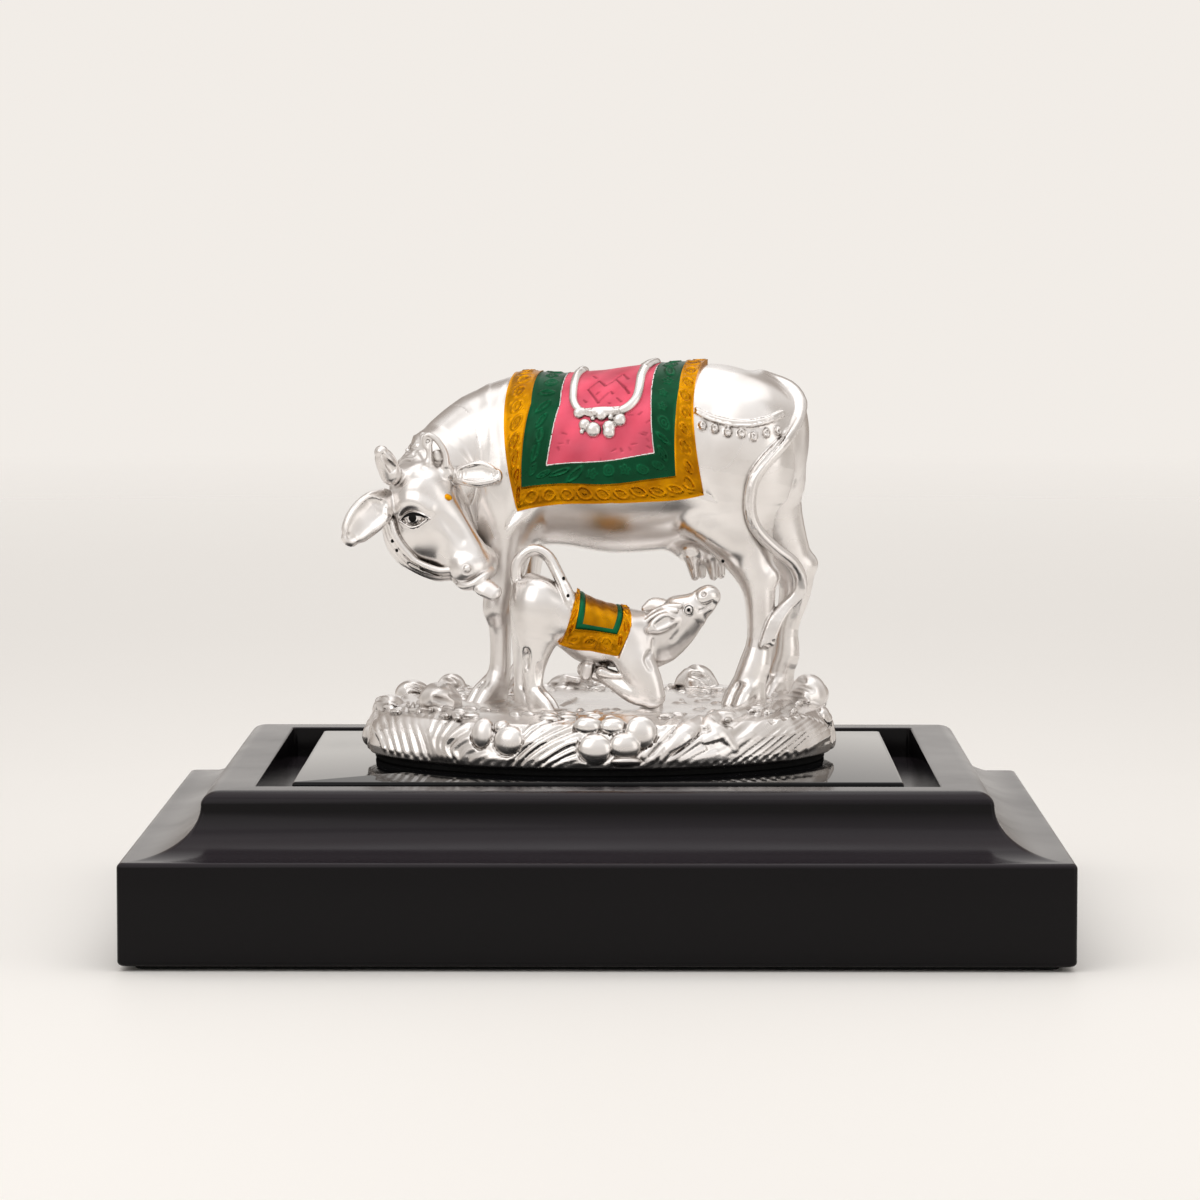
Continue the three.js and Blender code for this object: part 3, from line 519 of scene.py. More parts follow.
def cow_front(field):
    """The trunk, neck, shoulders and chest, which the body and the head pieces share."""
    field.add(cow_trunk)
    field.add(Limb(NECK), 4)
    for name in ("near_fore", "far_fore"):
        field.add(Limb(COW_LEGS[name], toward=UP_X), 3.5)
    field.add(Lump((-23, -6.6, 68), (8.5, 5.2, 12), z_axis=(-0.2, 0, 1)), 3)
    field.add(Lump((-20.5, 14.8, 69), (8.5, 5.2, 12)), 3)
    field.add(Lump((-33, -1, 62.5), (6.2, 6.5, 9), z_axis=(0.55, 0, 1)), 4)
    field.add(Limb([[-41, -3.5, 62.5, 2.4, 3], [-36, -1.5, 56, 2.8, 3.4], [-30, 0, 51.5, 3, 3.2]]), 3)
    return field


def under_head(p, d):
    """Sinks the body a little where the head's piece covers it."""
    side = np.clip((p - HEAD_CUT[1]) @ HEAD_CUT[0] / 0.8, 0, 1)
    return d + np.where(p[:, 2] > 40, 0.3 * side, 0)


STRING = [(697, 409), (705, 413.4), (713.6, 416.8), (731.4, 421.3), (749.3, 422.1), (767, 418.6), (783, 411.4)]
BEADS = [(702.5, 425.7), (715, 428.4), (727.9, 432), (741.6, 433.4), (753.8, 436.4), (766.3, 432.9), (777.9, 430.7)]


def cow_body():
    """The cow but for her head: legs, udder, hip string, tail and hooves."""
    f = cow_front(Field())
    for name in ("near_hind", "far_hind"):
        f.add(Limb(COW_LEGS[name], toward=UP_X), 4)
    # the elbow and the fold that runs up behind it
    f.cut(path([(-17.4, -15.2, 63.4), (-16.4, -14.6, 59.2), (-18.2, -12.6, 54.6), (-19.4, -9.6, 51)], 0.28), 1.6)
    f.cut(path([(-20, -13.6, 57.5), (-24.5, -12.4, 54)], 0.2), 1.4)
    # belly and the skin that folds from the flank to the knee
    f.add(Limb([[20, -4, 61, 1.6, 2], [26, -8.6, 59.6, 2.4, 3.4], [34, -9, 55, 2.4, 3.2]]), 3.5)
    # udder and teats
    f.add(Lump((26, 3, 55.6), (8, 7, 6.5)), 3)
    for x, y in ((23.6, -1.4), (28.4, -0.6), (25.5, 6), (30.4, 6)):
        f.add(Limb([[x, y, 51.8, 2.2, 2.2], [x + 0.5, y - 0.2, 48.9, 1.6, 1.6], [x + 0.9, y - 0.3, 46.6, 1.15, 1.15]],
            toward=UP_X), 1.6)
        f.raised([(x - 0.9, y - 1.6, 51), (x - 0.1, y - 1.5, 48.4)], -0.25, 0.35)
    # haunches
    f.add(Lump((38, -6.6, 80), (10, 6.4, 13)), 4)
    f.add(Lump((41, 13.6, 79), (9, 5.8, 12.5)), 4)
    # hocks, knees and tendons
    f.add(ball((43.8, -7.4, 47.2), 2.5), 2.4)
    f.add(ball((54.2, 15.6, 48.6), 2.5), 2.4)
    f.add(ball((-26.4, -6, 38.4), 3), 2.6)
    f.add(ball((-20.8, 11.6, 36.8), 2.7), 2.6)
    for x, y, z in ((43.6, -11.8, 49.6), (44.9, -11.6, 46.2)):
        f.cut(Lump((x, y, z), (0.6, 0.8, 1.2)), 1.6)
    for low, high in (((43.4, -8.6, 30), (44.3, -8, 43)), ((51, 13.2, 31), (53.4, 13, 43))):
        f.raised([low, high], 0.35, 0.7)
    for x in (-27.4, -23.6):
        f.raised([(x, -8, 24), (x, -8.4, 34)], 0.3, 0.6)
    hoof(f, (-28.6, -6.2, 16), (-0.8, -0.6), 1.0)
    hoof(f, (-22.6, 12.2, 16), (-0.8, -0.5), 0.95)
    hoof(f, (36.6, -10.4, 16), (-0.6, -0.8), 1.05)
    hoof(f, (44.8, 16, 16), (-0.6, -0.8), 1.0)
    f.shaped(cow_cloth.under)
    # hip string: a twin cord with ring beads hanging from it
    bare = Field()
    bare.steps = list(f.steps)
    lines = [seen(bare, np.array(STRING) + (0, drop), 0.15) for drop in (0, 3.6)] + [seen(bare, BEADS, 0.3)]
    across = np.array([[0, -1.0, 0]])
    for places in (lines, [met(bare, q * (1, 0, 1) + (2, 45, 0), across, 0.2) for q in lines]):
        for line in places[:2]:
            f.add(path(line, 0.5), 0.25)
        for i, (spot, out) in enumerate(zip(places[2], normals_of(bare, places[2]))):
            f.add(Lump(spot, (1.25, 1.25, 0.95), out + (0.1, 0, 0), out), 0.25)
            f.cut(ball(spot + out * 1.2, 0.62 + 0.1 * (i in (2, 3, 5))), 0.2)
    # tail with its crease, and the tuft that turns round the hock
    tail = [[*q, 1.6 if i < 11 else 1.75, 1.6] for i, q in enumerate(COW_TAIL)]
    f.add(Limb(tail, toward=TILTED), 0.7)
    f.add(Limb([[42, 4, 96.6, 4.5, 2.4], [48, 3, 94, 3, 2.2], [50.6, 0.6, 90.6, 2, 1.9]]), 2.5)
    crease = [(50, -6.6, 87.6), (46.6, -12.4, 82.2), (42, -15.7, 77.2), (38.4, -17, 72.2), (37.5, -17, 66.4),
        (38.4, -16.2, 61), (41, -14.9, 57), (44.8, -13.6, 53.2), (48.6, -11.7, 49.9)]
    f.raised(crease, -0.5, 0.42, 0.12)
    for i, shift in enumerate((-1.1, -0.4, 0.35, 1.1)):
        lock = [(49.8 + shift * 0.9, -9.7, 50), (51.6 + shift * 0.6, -8.9, 46.6), (51.2 + shift, -8.2, 42.6),
            (48 + shift, -9, 39.4), (45 + shift * 1.2, -11, 35.6), (43 + shift * 1.4, -11.8, 29.6 + i * 0.6)]
        f.add(path(lock, 0.62), 0.35)
    f.shaped(under_head)
    return f


# ---- the cow's head ----
def other_side(points):
    """The same places on the far half of the head."""
    points = np.atleast_2d(points)
    return points - 2 * ((points - HEAD_TOP) @ HEAD_SIDE)[:, None] * HEAD_SIDE


def skull():
    """The head before its eyes, ears and ornaments, with the neck that carries it."""
    f = Field()
    rows = [[a, (b + t) / 2, w, (b - t) / 2, (b - t) / 2] for a, w, b, t in SKULL]
    cow_front(f)
    f.shaped(cow_cloth.under)
    f.cut(Plane(*HEAD_CUT), 0.01)
    f.add(Rings(HEAD_TOP, HEAD_ALONG, HEAD_FACE, rows, (2.2, 1.2), 2.2), 3)
    f.add(Limb(head_rows([[12, 0, -2.2, 2.4, 2], [20, 0, -1.8, 2, 2.1], [27, 0, -1.7, 2.3, 2]]), toward=HEAD_FACE),
        2.4)
    f.add(Lump(on_head(31.2, 0, -4.2), (4.2, 6.6, 4.6), HEAD_ALONG, HEAD_FACE), 1.8)
    for side in (-1, 1):
        f.add(Lump(on_head(16.4, side * 5.4, -13.9), (8.8, 4.8, 7.4), HEAD_ALONG, HEAD_FACE), 2.6)
        f.add(Lump(on_head(30.4, side * 4.4, -4.2), (3.2, 2.4, 3.2), HEAD_ALONG, HEAD_FACE), 1.6)
    return f


UPPER_LID = [(400, 520.8), (403.4, 516.9), (407.8, 514), (412.7, 512.8), (418.4, 513.8), (424, 515.8), (428.6, 518.4)]
LOWER_LID = [(400, 520.8), (404.7, 524.2), (409, 526.4), (413, 527.2), (418.5, 525.6), (423.6, 522), (428.6, 518.4)]
LID_FOLD = [(401.4, 516.6), (404.2, 512), (408.4, 508.8), (413, 507.8), (418.6, 509.2), (424, 512.8)]
PUPIL = (412.3, 518.2)


def cow_head():
    """The head with its eyes, nose, mouth, horns, ears and jewels."""
    base = skull()
    f = skull()
    # the eyeball between its lids, with a fold over the upper one
    middle = seen(base, PUPIL)[0]
    out = normal_at(base, middle)
    level = unit(np.diff(seen(base, [(404, 519), (422, 518)]), axis=0)[0])
    for at in (np.atleast_2d, other_side):
        facing, lengthways = at([HEAD_TOP + out, HEAD_TOP + level]) - HEAD_TOP
        f.cut(Lump(at(middle)[0] + facing * 0.3, (3.3, 1.7, 1.1), lengthways, facing), 1.2)
        f.add(Lump(at(middle)[0] - facing * 0.75, (2.6, 1.85, 1.5), lengthways, facing), 0.25)
        for pixels, lift, size, k in ((UPPER_LID, 0.1, 0.34, 0.35), (LOWER_LID, -0.02, 0.27, 0.3)):
            f.add(path(at(seen(base, pixels, lift)), size), k)
        f.raised(at(seen(base, LID_FOLD)), -0.16, 0.6)
        brow = seen(base, [(398, 509), (404, 503.5), (412, 501), (421, 503.5), (428, 509)], -1.0)
        f.add(path(at(brow), 1.35), 1.8)
        groove = at(seen(base, [(443, 516), (449, 523.6), (455, 531.4), (461, 539)], 1.25))
        f.cut(tapered(groove, (0.35, 0.8, 0.9, 0.7)), 2.0)
        # nostril with its ring, and the corner of the mouth
        nose = seen(base, (467, 568.8))[0]
        forward = normal_at(base, nose)
        nose, forward = at(nose)[0], at(HEAD_TOP + forward)[0] - HEAD_TOP
        f.cut(ball(nose + forward * 0.95, 1.5), 0.7)
        f.add(Lump(nose - forward * 0.1, (0.85, 0.85, 0.5), HEAD_ALONG, forward), 0.5)
    lip = Limb(placed((457, 580, -19, 1.2, 1.1), (463, 584.6, -21, 1.4, 1.2), (469.6, 585.6, -22.4, 1.3, 1.2),
        (477, 581.6, -22.8, 1.2, 1.1), (484, 576.4, -21.6, 1.2, 1.1), (491, 571, -19, 1.2, 1.1)))
    f.add(lip, 0.5)
    tongue = placed((475, 579.5, -19.5, 2.3, 1.4), (484.6, 587, -22.6, 2.8, 1.5), (494, 593.2, -23.6, 2.35, 1.3))
    f.add(Limb(tongue, toward=(0.2, -0.8, 0.5)), 0.6)
    mouth = [(451, 578), (457, 582.4), (463, 584.8), (469.4, 584.6), (476.6, 580.6), (482.6, 576), (488.8, 572)]
    f.cut(path(seen(base, mouth, 0.2), 0.3), 0.6)
    cow_horns(f)
    cow_ears(f)
    cow_jewels(f)
    return f


def cow_horns(f):
    """The stubby right horn with its slit, the curled left one and the crest between them."""
    right = placed((391, 474.6, -17, 2.7, 2.7), (387, 464.4, -18, 2.75, 2.6), (383.6, 457, -18.6, 2.4, 2.3),
        (381.4, 452.4, -19, 1.8, 1.8))
    horn = Limb(right, toward=TILTED)
    f.add(horn, 1.3)
    slit = seen(Field().add(horn), [(382.8, 454.6), (386, 460.6), (389.6, 465.6), (392.8, 469.6)], 0.0)
    f.cut(tapered(slit, (0.2, 0.5, 0.75, 0.8), 1.6), 0.3)
    # the left horn curls back on itself round a small hole
    f.add(Limb(placed((447, 472, -14.6, 2.0, 2.0), (446, 465, -15, 1.4, 1.5)), toward=TILTED), 1.6)
    f.add(Limb(placed((428.4, 472, -14.8, 2.6, 2.2), (428.6, 463, -15.6, 1.3, 1.4)), toward=TILTED), 1.6)
    for points in (((446.4, 465, 1.0), (446, 457, 0.86), (443.6, 449.6, 0.8), (438.6, 441.8, 0.76),
            (432.6, 436.4, 0.68), (427.6, 434.8, 0.56), (424.3, 437.4, 0.48), (423.9, 441.4, 0.46),
            (425.4, 445.4, 0.6), (428.4, 449, 0.74)), ((429.8, 444.8, 0.6), (429.6, 450, 0.76), (429.4, 457, 0.84),
            (428.8, 463, 1.1))):
        f.add(Limb([[*shot(x, y, -15.8), r, r * 1.15] for x, y, r in points], toward=TILTED), 0.5)
    around = [shot(427.7 + 3.3 * math.sin(q), 441.4 - 3.3 * math.cos(q), -15.8) for q in np.arange(9) * math.pi / 4]
    f.add(path(around, 0.42), 0.35)
    f.add(Lump(shot(438, 455.6, -14.6), (1.9, 0.5, 1.6), x_axis=(1, 0, 0.1)), 0.5)
    f.add(Lump(shot(412, 475, -11.6), (6.4, 4.2, 3.2), x_axis=(1, 0, 0.1)), 2.2)


def cow_ears(f):
    """Leaf-shaped ears, hollowed on the side that faces the picture."""
    shapes = [(placed((388, 500, -15.5, 3.4, 1.6), (377, 508, -19, 4.7, 1.8), (364, 520, -21.6, 4.7, 1.8),
        (354, 532.6, -22.6, 3.7, 1.6), (349.6, 539, -22.8, 2.3, 1.3)), (0.25, -0.95, 0.2)),
        (placed((455, 477, -13.5, 1.9, 1.5), (465, 474.6, -15.6, 2.9, 1.7), (479, 474, -16.8, 3.6, 1.7),
        (491, 475.4, -16.9, 2.8, 1.5), (496.6, 475.8, -16.6, 1.9, 1.2)), (0.1, -0.95, 0.3))]
    for rows, facing in shapes:
        out = unit(facing)
        f.add(Limb(rows, toward=facing, per=5), 0.9)
        q = np.array(rows)[:, :3]
        hollow = [[*(spot + out * 1.9), max(r[3] - 1.0, 0.4), max(r[4] - 0.1, 0.9)]
                  for spot, r in zip(q[1:], rows[1:])]
        hollow[-1][:4] = [*(q[-1] * 0.7 + q[-2] * 0.3 + out * 1.7), rows[-1][3] - 0.55]
        hollow.insert(0, [*(q[0] * 0.45 + q[1] * 0.55 + out * 2.1), 1.4, 0.8])
        f.cut(Limb(hollow, toward=facing, per=5), 0.35)
        side = np.cross(out, unit(q[3] - q[1]))
        for shift in (-1.2, -0.1, 1.0):
            f.raised([q[1] + side * shift * 0.7 + out * 0.2, q[3] + side * shift * 1.1 + out * 0.1], 0.22, 0.55)


def cow_jewels(f):
    """The broad band over the nape with its scrolls, and the strands that hang behind the jaw."""
    f.add(Limb(NAPE_BAND), 0.5)
    base = Field().add(Limb(NECK)).add(Limb(NAPE_BAND))
    ridges = [[(396.4, 457.4), (400, 450), (405.6, 442.4), (413, 434.8), (419.4, 431.4), (421.2, 434), (422.6, 441),
        (426, 447)], [(399, 461), (405.7, 458.6), (411, 459), (415.4, 462)], [(406.4, 444.8), (413, 447), (419, 452),
        (424, 460)], [(414, 436.6), (416, 441), (414.6, 445)]]
    grooves = [[(406.4, 446.4), (412, 448.6), (417.6, 453.6), (422.6, 461)],
        [(408.6, 447.6), (410.6, 450), (409.4, 453), (406, 454)], [(414.4, 452.6), (413, 455.6), (408, 456.4),
        (403.6, 457.4), (401, 459.6)], [(410, 440), (412.6, 443.6)], [(400, 463.4), (405.7, 461.6), (411.6, 462.6)]]
    for lines, height, width in ((ridges, 0.32, 0.6), (grooves, -0.34, 0.5)):
        for line in lines:
            f.raised(seen(base, line), height, width)
    for spot in seen(base, [(407.6, 450.5), (416.8, 445.6)]):
        f.add(ball(spot, 0.6), 0.3)
    strands = [(385.4, 528), (389.4, 541), (396, 552), (404, 561.4), (414, 568.4), (426, 574), (438, 577.6),
        (449, 577)]
    for shift, size in ((0.0, 0.95), (1.0, 0.95), (2.0, 1.0)):
        f.add(path([shot(x + shift * (2.4 if n < 4 else 0.8), y - 3.4 * shift, -15.2 - 0.35 * n - shift) for n,
            (x, y) in enumerate(strands)], size), 0.3)
    for x, y in ((390.6, 541.4), (395, 550.6)):
        f.cut(ball(shot(x, y, -17.9), 0.55), 0.2)
    for a, b in (((404, 556.6), (418, 566)), ((409, 563.6), (424, 571.4)), ((422, 568), (440, 575.4))):
        f.cut(path([shot(*a, -18.4), shot(*b, -19.2)], 0.42), 0.3)


# ---- the calf ----
CALF_LEGS = {
    "near_hind": [[-15, -23, 40, 3.6, 7], [-15.4, -24, 34, 3.4, 5.8], [-16.2, -24.4, 28.5, 2.6, 3.8],
                  [-16.7, -24.5, 23.5, 2.2, 2.7],
                  [-16.4, -24.7, 18.5, 2.1, 2.4], [-15.2, -25, 13.2, 2.6, 3.4]],
    "far_hind": [[-17, -16, 40, 3.4, 6], [-18, -15.6, 33, 3, 4.6], [-19.6, -15.4, 25, 2, 2.4],
                 [-19.6, -15.2, 19, 1.9, 2.2],
                 [-19, -15, 13, 2.4, 3]],
    "near_fore": placed((622, 636, -24, 3, 5), (635, 662, -25, 3.2, 4.9), (646, 682, -25.4, 3, 4.2),
                        (653, 697, -25.4, 2.7, 3.2)),
    "near_shin": placed((650, 697, -25.4, 2.6, 2.8), (634, 691, -25, 2.5, 3.3), (616, 681, -23.6, 2, 2.6),
                        (603, 674, -22.6, 1.7, 1.9)),
    "far_fore": [[8, -16.8, 30, 2.8, 4.6], [12, -16.4, 22, 2.2, 3], [13.6, -16.2, 14.6, 2, 2.6]],
    "far_shin": [[12.8, -16.2, 17, 1.9, 2.1], [4, -16.4, 21, 1.7, 2], [-3.6, -16.8, 24, 1.9, 2.2]],
}
CALF_TAIL = [(-19.4, -20, 42.5), (-21, -20, 46.6), (-20.8, -20.2, 51), (-18.4, -20.4, 54.1), (-15.6, -20.6, 54.6),
    (-12.8, -21, 52.9), (-10.8, -22, 49.4), (-9, -23.6, 45.8), (-7.4, -25.4, 42)]
CALF_NECK = [[6, -20, 32.5, 5.6, 7.2], [13.5, -20, 31.8, 4.8, 7.2], [19.4, -20, 35.4, 4.4, 6],
    [23, -20, 38.5, 3.5, 4.6]]
CALF_FACE = [[19.4, -20, 36.6, 4.2, 5], [23.2, -20, 39.4, 3.5, 4.1], [26, -20, 41.4, 2.9, 3.3],
    [28, -20, 42.9, 2.7, 2.9]]
CALF_EYE = (688.7, 609.9)


def mirrored(points, midline):
    """The same places on the far side of an animal."""
    return np.atleast_2d(points) * (1, -1, 1) + (0, 2 * midline, 0)


def far_half(points):
    return mirrored(points, CALF_MIDLINE)


def calf_skull(f):
    """The calf's neck and face, before eyes and ears."""
    f.add(Limb(CALF_NECK), 2.2)
    f.add(Limb(CALF_FACE), 1.4)
    f.add(Lump((19.6, -20, 41.2), (2.6, 3, 1.8), z_axis=(-0.55, 0, 0.83)), 1.4)
    f.add(Lump(shot(704, 597, -20), (2.5, 3.0, 2.3), x_axis=(0.6, 0, 0.8)), 1.3)
    f.add(Lump(shot(707.6, 609, -20), (2.2, 2.4, 1.4), x_axis=(0.7, 0, 0.7)), 1.1)
    return f


def calf():
    """The kneeling calf with its head stretched up."""
    f = Field()
    f.add(calf_trunk)
    for name, k in (("near_hind", 2.2), ("far_hind", 2.2), ("near_fore", 2.2), ("far_fore", 2), ("near_shin", 1),
            ("far_shin", 0.8)):
        f.add(Limb(CALF_LEGS[name], toward=UP_X), k)
    f.add(Lump((-15.4, -23.2, 40), (5.6, 4.6, 7.6)), 2)
    f.add(Lump((-15.4, -16.6, 40), (5.6, 4, 7)), 2)
    # folds at the elbow, the knee creases and the belly line
    f.cut(path([shot(600, 659, -28), shot(606, 663.4, -28), shot(611, 670, -28)], 0.3), 1.0)
    f.cut(path([shot(650, 652, -26), shot(646, 659, -27.6), shot(650, 668, -28)], 0.3), 1.2)
    f.cut(path([shot(606, 684, -27.6), shot(618, 694, -28.6), shot(634, 702, -28.6)], 0.3), 1.0)
    f.cut(Lump((-18.6, -21.5, 33), (0.9, 1.4, 6)), 1.4)
    f.add(Limb(placed((602, 672, -24, 1.6, 1.5), (611, 675, -24.6, 1.3, 1.1), (622, 675.6, -25.4, 1.1, 0.8))), 0.3)
    f.add(Limb(placed((588, 667, -21.6, 2.2, 1.8), (586, 675, -21.6, 1.7, 1.6))), 0.4)
    for x, y, z in ((-15, -26.9, 23.4), (-18.4, -26.4, 27.4)):
        f.cut(Lump((x, y, z), (0.7, 0.8, 2.2)), 1.2)
    hoof(f, (-14.6, -25.8, 15), (0.8, -0.6), 0.62)
    hoof(f, (-19, -16, 15), (0.5, -0.9), 0.6)
    f.shaped(calf_cloth.under)
    # neck and head, stretched up toward the udder
    base = calf_skull(Field())
    calf_skull(f)
    eye = seen(base, CALF_EYE)[0]
    out = normal_at(base, eye)
    for at in (np.atleast_2d, far_half):
        f.add(ball(at(eye - out * 0.35)[0], 1.15), 0.3)
        f.add(path(at(seen(base, [(683.6, 611.4), (685.4, 606.6), (689, 605), (693.4, 607.4)], 0.05)), 0.28), 0.3)
        f.add(path(at(seen(base, [(683.6, 611.4), (686.6, 614.6), (691, 614), (693.6, 610)], 0.0)), 0.24), 0.3)
        f.cut(ball(at(seen(base, (703.6, 594), 0.1))[0], 0.75), 0.35)
        f.raised(at(seen(base, [(695.6, 593), (696.6, 600), (701.6, 605), (709, 604)])), -0.28, 0.42)
        f.cut(path(at(seen(base, [(699.6, 611), (705, 608.6), (711.6, 602.4)], 0.1)), 0.3), 0.5)
        f.raised(at(seen(base, [(672, 640), (680, 630), (683, 619)])), -0.22, 0.7)
    f.raised(seen(base, [(653, 640), (650, 652), (655, 662), (664, 664)]), -0.3, 0.7)
    near_ear = placed((676, 619, -23.6, 1.3, 1.1), (666, 621, -25, 2.3, 1.2), (656, 626.4, -25.6, 2.0, 1.1),
        (649.6, 630, -25.6, 1.0, 0.8))
    facing = (0.35, -0.9, 0.25)
    f.add(Limb(near_ear, toward=facing, per=4), 0.5)
    hollow = [[r[0] + 0.3, r[1] - 1.3, r[2] + 0.3, max(r[3] - 0.75, 0.3), 0.9] for r in near_ear[1:3]]
    f.cut(Limb([[*(shot(673, 620, -25.4)), 0.5, 0.5], *hollow], toward=facing, per=4), 0.25)
    far_ear = [[18.2, -17.6, 38.8, 1.5, 1.2], [16.4, -16.4, 40, 1.9, 1.1], [13.8, -15.4, 40.2, 2, 0.9],
        [11.6, -15, 39.2, 1.1, 0.7]]
    f.add(Limb(far_ear, toward=(0, -1, 0.3)), 0.5)
    for line in ([(680, 606), (668, 606.6), (656, 611), (648, 616)], [(676, 611), (664, 612), (652, 617.6),
            (646, 622)]):
        f.add(tapered(seen(base, line, 0.1), (0.7, 1.0, 0.9, 0.5), 0.9), 0.5)
    # tail thrown over the back, with its tuft on the cloth
    f.add(Limb([[*q, 1.5, 1.5] for q in CALF_TAIL], toward=TILTED), 0.5)
    f.add(Limb([[-8.8, -23.8, 45.4, 1.6, 1.5], [-7.9, -25, 42.8, 1.9, 1.4], [-7, -26.2, 40.4, 1.1, 0.9]],
        toward=TILTED), 0.5)
    f.raised([(-19.6, -21.4, 44.5), (-20.2, -21.5, 49.6), (-18.2, -21.8, 53), (-15.6, -22, 53.6), (-13, -22.4, 51.6)],
        -0.28, 0.4)
    f.raised([shot(565, 581, -25), shot(570, 592, -26.6), shot(573.4, 602, -27.6)], -0.25, 0.4)
    return f


# ---- the ground ----
ROCKS = [((-40.6, -19.5, 16.2), (5.4, 4.4, 4.6)), ((-49, 13, 14.6), (4.6, 5, 3.8)),
    ((-39.4, 29, 14.6), (3.9, 3.6, 4)), ((25.4, 34, 14.6), (5.4, 4.8, 6)), ((54, 5, 14.8), (5, 5, 6)),
    ((-8, 38, 14.6), (6, 5, 3.2)), ((-54, -6, 13.6), (3.6, 4.4, 2.8)), ((47, 27, 14.2), (4.4, 4, 3.2))]
RIM = np.array([[0.972, 1.8], [0.992, 2.3], [1.0, 4.4], [0.985, 9.0], [0.945, 12.8], [0.87, 14.6]])
PEBBLES = [(501, 727, 8, 8), (481.6, 733, 11.5, 16), (507.8, 740.6, 15.5, 15.5), (587, 726.4, 14, 10.5),
    (612.6, 726.8, 13.5, 10), (641.4, 732.6, 16, 17.5), (595, 748.8, 17.5, 15.5), (625.6, 746, 16, 14),
    (626, 761.6, 16, 5), (549, 716.6, 9, 5), (470, 715.6, 9, 5), (568, 715, 8, 4.4)]
BLADES = [[(375, 714), (378, 733), (384, 748)], [(381, 711), (385, 731), (391, 750)],
    [(389, 709), (392, 730), (398, 752)], [(397, 708), (400, 730), (406, 754)], [(405, 708), (409, 731), (416, 756)],
    [(413, 711), (418, 734), (425, 757)], [(421, 714), (425, 735), (432, 757)], [(428, 716), (430, 735), (436, 757)],
    [(447, 717), (437, 730), (434, 745), (441, 757)], [(457, 719), (445, 731), (439, 745), (446, 758)],
    [(466, 725), (452, 735), (445, 746), (451, 758)], [(471, 736), (459, 743), (453, 750), (458, 760)],
    [(474, 748), (466, 752), (463, 760)], [(438, 712), (433, 719), (431, 728)], [(449, 711), (456, 713), (464, 718)],
    [(472, 762), (480, 757), (487, 755)], [(482, 764), (490, 759), (498, 758)], [(493, 765), (502, 760), (512, 758)],
    [(504, 766), (518, 751), (540, 736), (560, 725)], [(514, 766), (530, 750), (552, 736), (574, 727)],
    [(523, 766), (540, 752), (560, 741), (577, 734)], [(533, 766), (548, 756), (564, 746), (578, 741)],
    [(543, 767), (556, 759), (570, 752), (579, 749)], [(553, 767), (564, 762), (576, 758), (583, 757)],
    [(522, 745), (534, 733), (550, 724), (566, 720)], [(524, 735), (534, 726), (546, 721), (558, 719)],
    [(566, 767), (576, 764), (586, 763)], [(606, 766), (612, 760), (612, 752)], [(644, 765), (656, 757), (668, 754)],
    [(646, 756), (657, 744), (670, 730), (680, 721)], [(653, 759), (667, 744), (682, 730), (693, 721)],
    [(661, 760), (676, 746), (690, 734), (700, 727)], [(670, 761), (684, 751), (696, 742), (704, 736)],
    [(680, 762), (692, 755), (704, 749)], [(663, 728), (672, 720), (684, 714)], [(690, 763), (703, 757), (716, 753)],
    [(700, 763), (718, 754), (736, 744), (752, 733)], [(710, 763), (730, 752), (750, 738), (768, 724)],
    [(719, 763), (740, 750), (760, 735), (780, 720)], [(729, 762), (750, 747), (770, 732), (790, 718)],
    [(739, 761), (759, 747), (779, 732), (799, 717)], [(749, 760), (768, 747), (787, 732), (807, 717)],
    [(759, 759), (777, 746), (795, 732), (813, 719)], [(769, 758), (786, 746), (802, 733), (818, 721)],
    [(779, 756), (794, 746), (809, 734), (823, 723)], [(789, 754), (802, 745), (815, 735), (827, 726)],
    [(798, 752), (809, 744), (820, 736), (829, 730)], [(807, 749), (816, 743), (829, 735)],
    [(726, 737), (738, 727), (754, 716)], [(733, 746), (748, 734), (766, 719), (778, 712)]]


BLADE, BLADE_GROOVE = (0.6, 0.72), (-0.4, 0.65)  # height and width of the strokes of grass and of what parts them
PIXEL = 0.252  # mm that one pixel of the photograph covers at the front of the ground


class Disc:
    """The oval ground: a rounded edge and a flat satin top."""

    def __init__(self):
        self.low, self.high = np.array([-64, -55, 0.0]), np.array([64, 55, 20.0])

    def dist(self, p, *_):
        angle = np.arctan2(p[:, 1] / GROUND_HALF[1], p[:, 0] / GROUND_HALF[0])
        reach = np.sqrt(((p[:, :2] / GROUND_HALF)**2).sum(1))
        wave = 0.008 * np.sin(9 * angle + 1) + 0.006 * np.sin(17 * angle) + 0.004 * np.sin(31 * angle + 2)
        edge = np.interp(p[:, 2], RIM[:, 1], RIM[:, 0]) + wave * 0.5 - 0.01
        side = (reach - edge) * 55
        mound = 0.35 * np.sin(p[:, 0] / 9 + 1) * np.sin(p[:, 1] / 8) + 0.22 * np.sin(p[:, 0] / 4.1 + p[:, 1] / 5.3)
        mound = mound + 0.5 * bump((reach - 0.84) / 0.08) * (1 + 0.5 * np.sin(11 * angle))
        top = p[:, 2] - (14.45 + mound * np.clip((1.0 - reach) * 6, 0, 1))
        return np.maximum(-soft_min(-side, -top, 4), 1.8 - p[:, 2])


def oval_point(angle, reach):
    """A place at a share of the way from the middle of the ground to its edge."""
    return GROUND_HALF * reach * np.array([math.cos(angle), math.sin(angle)])


def rim_point(angle, z):
    """A place on the edge of the ground."""
    return np.array([*oval_point(angle, float(np.interp(z, RIM[:, 1], RIM[:, 0])) - 0.01), z])


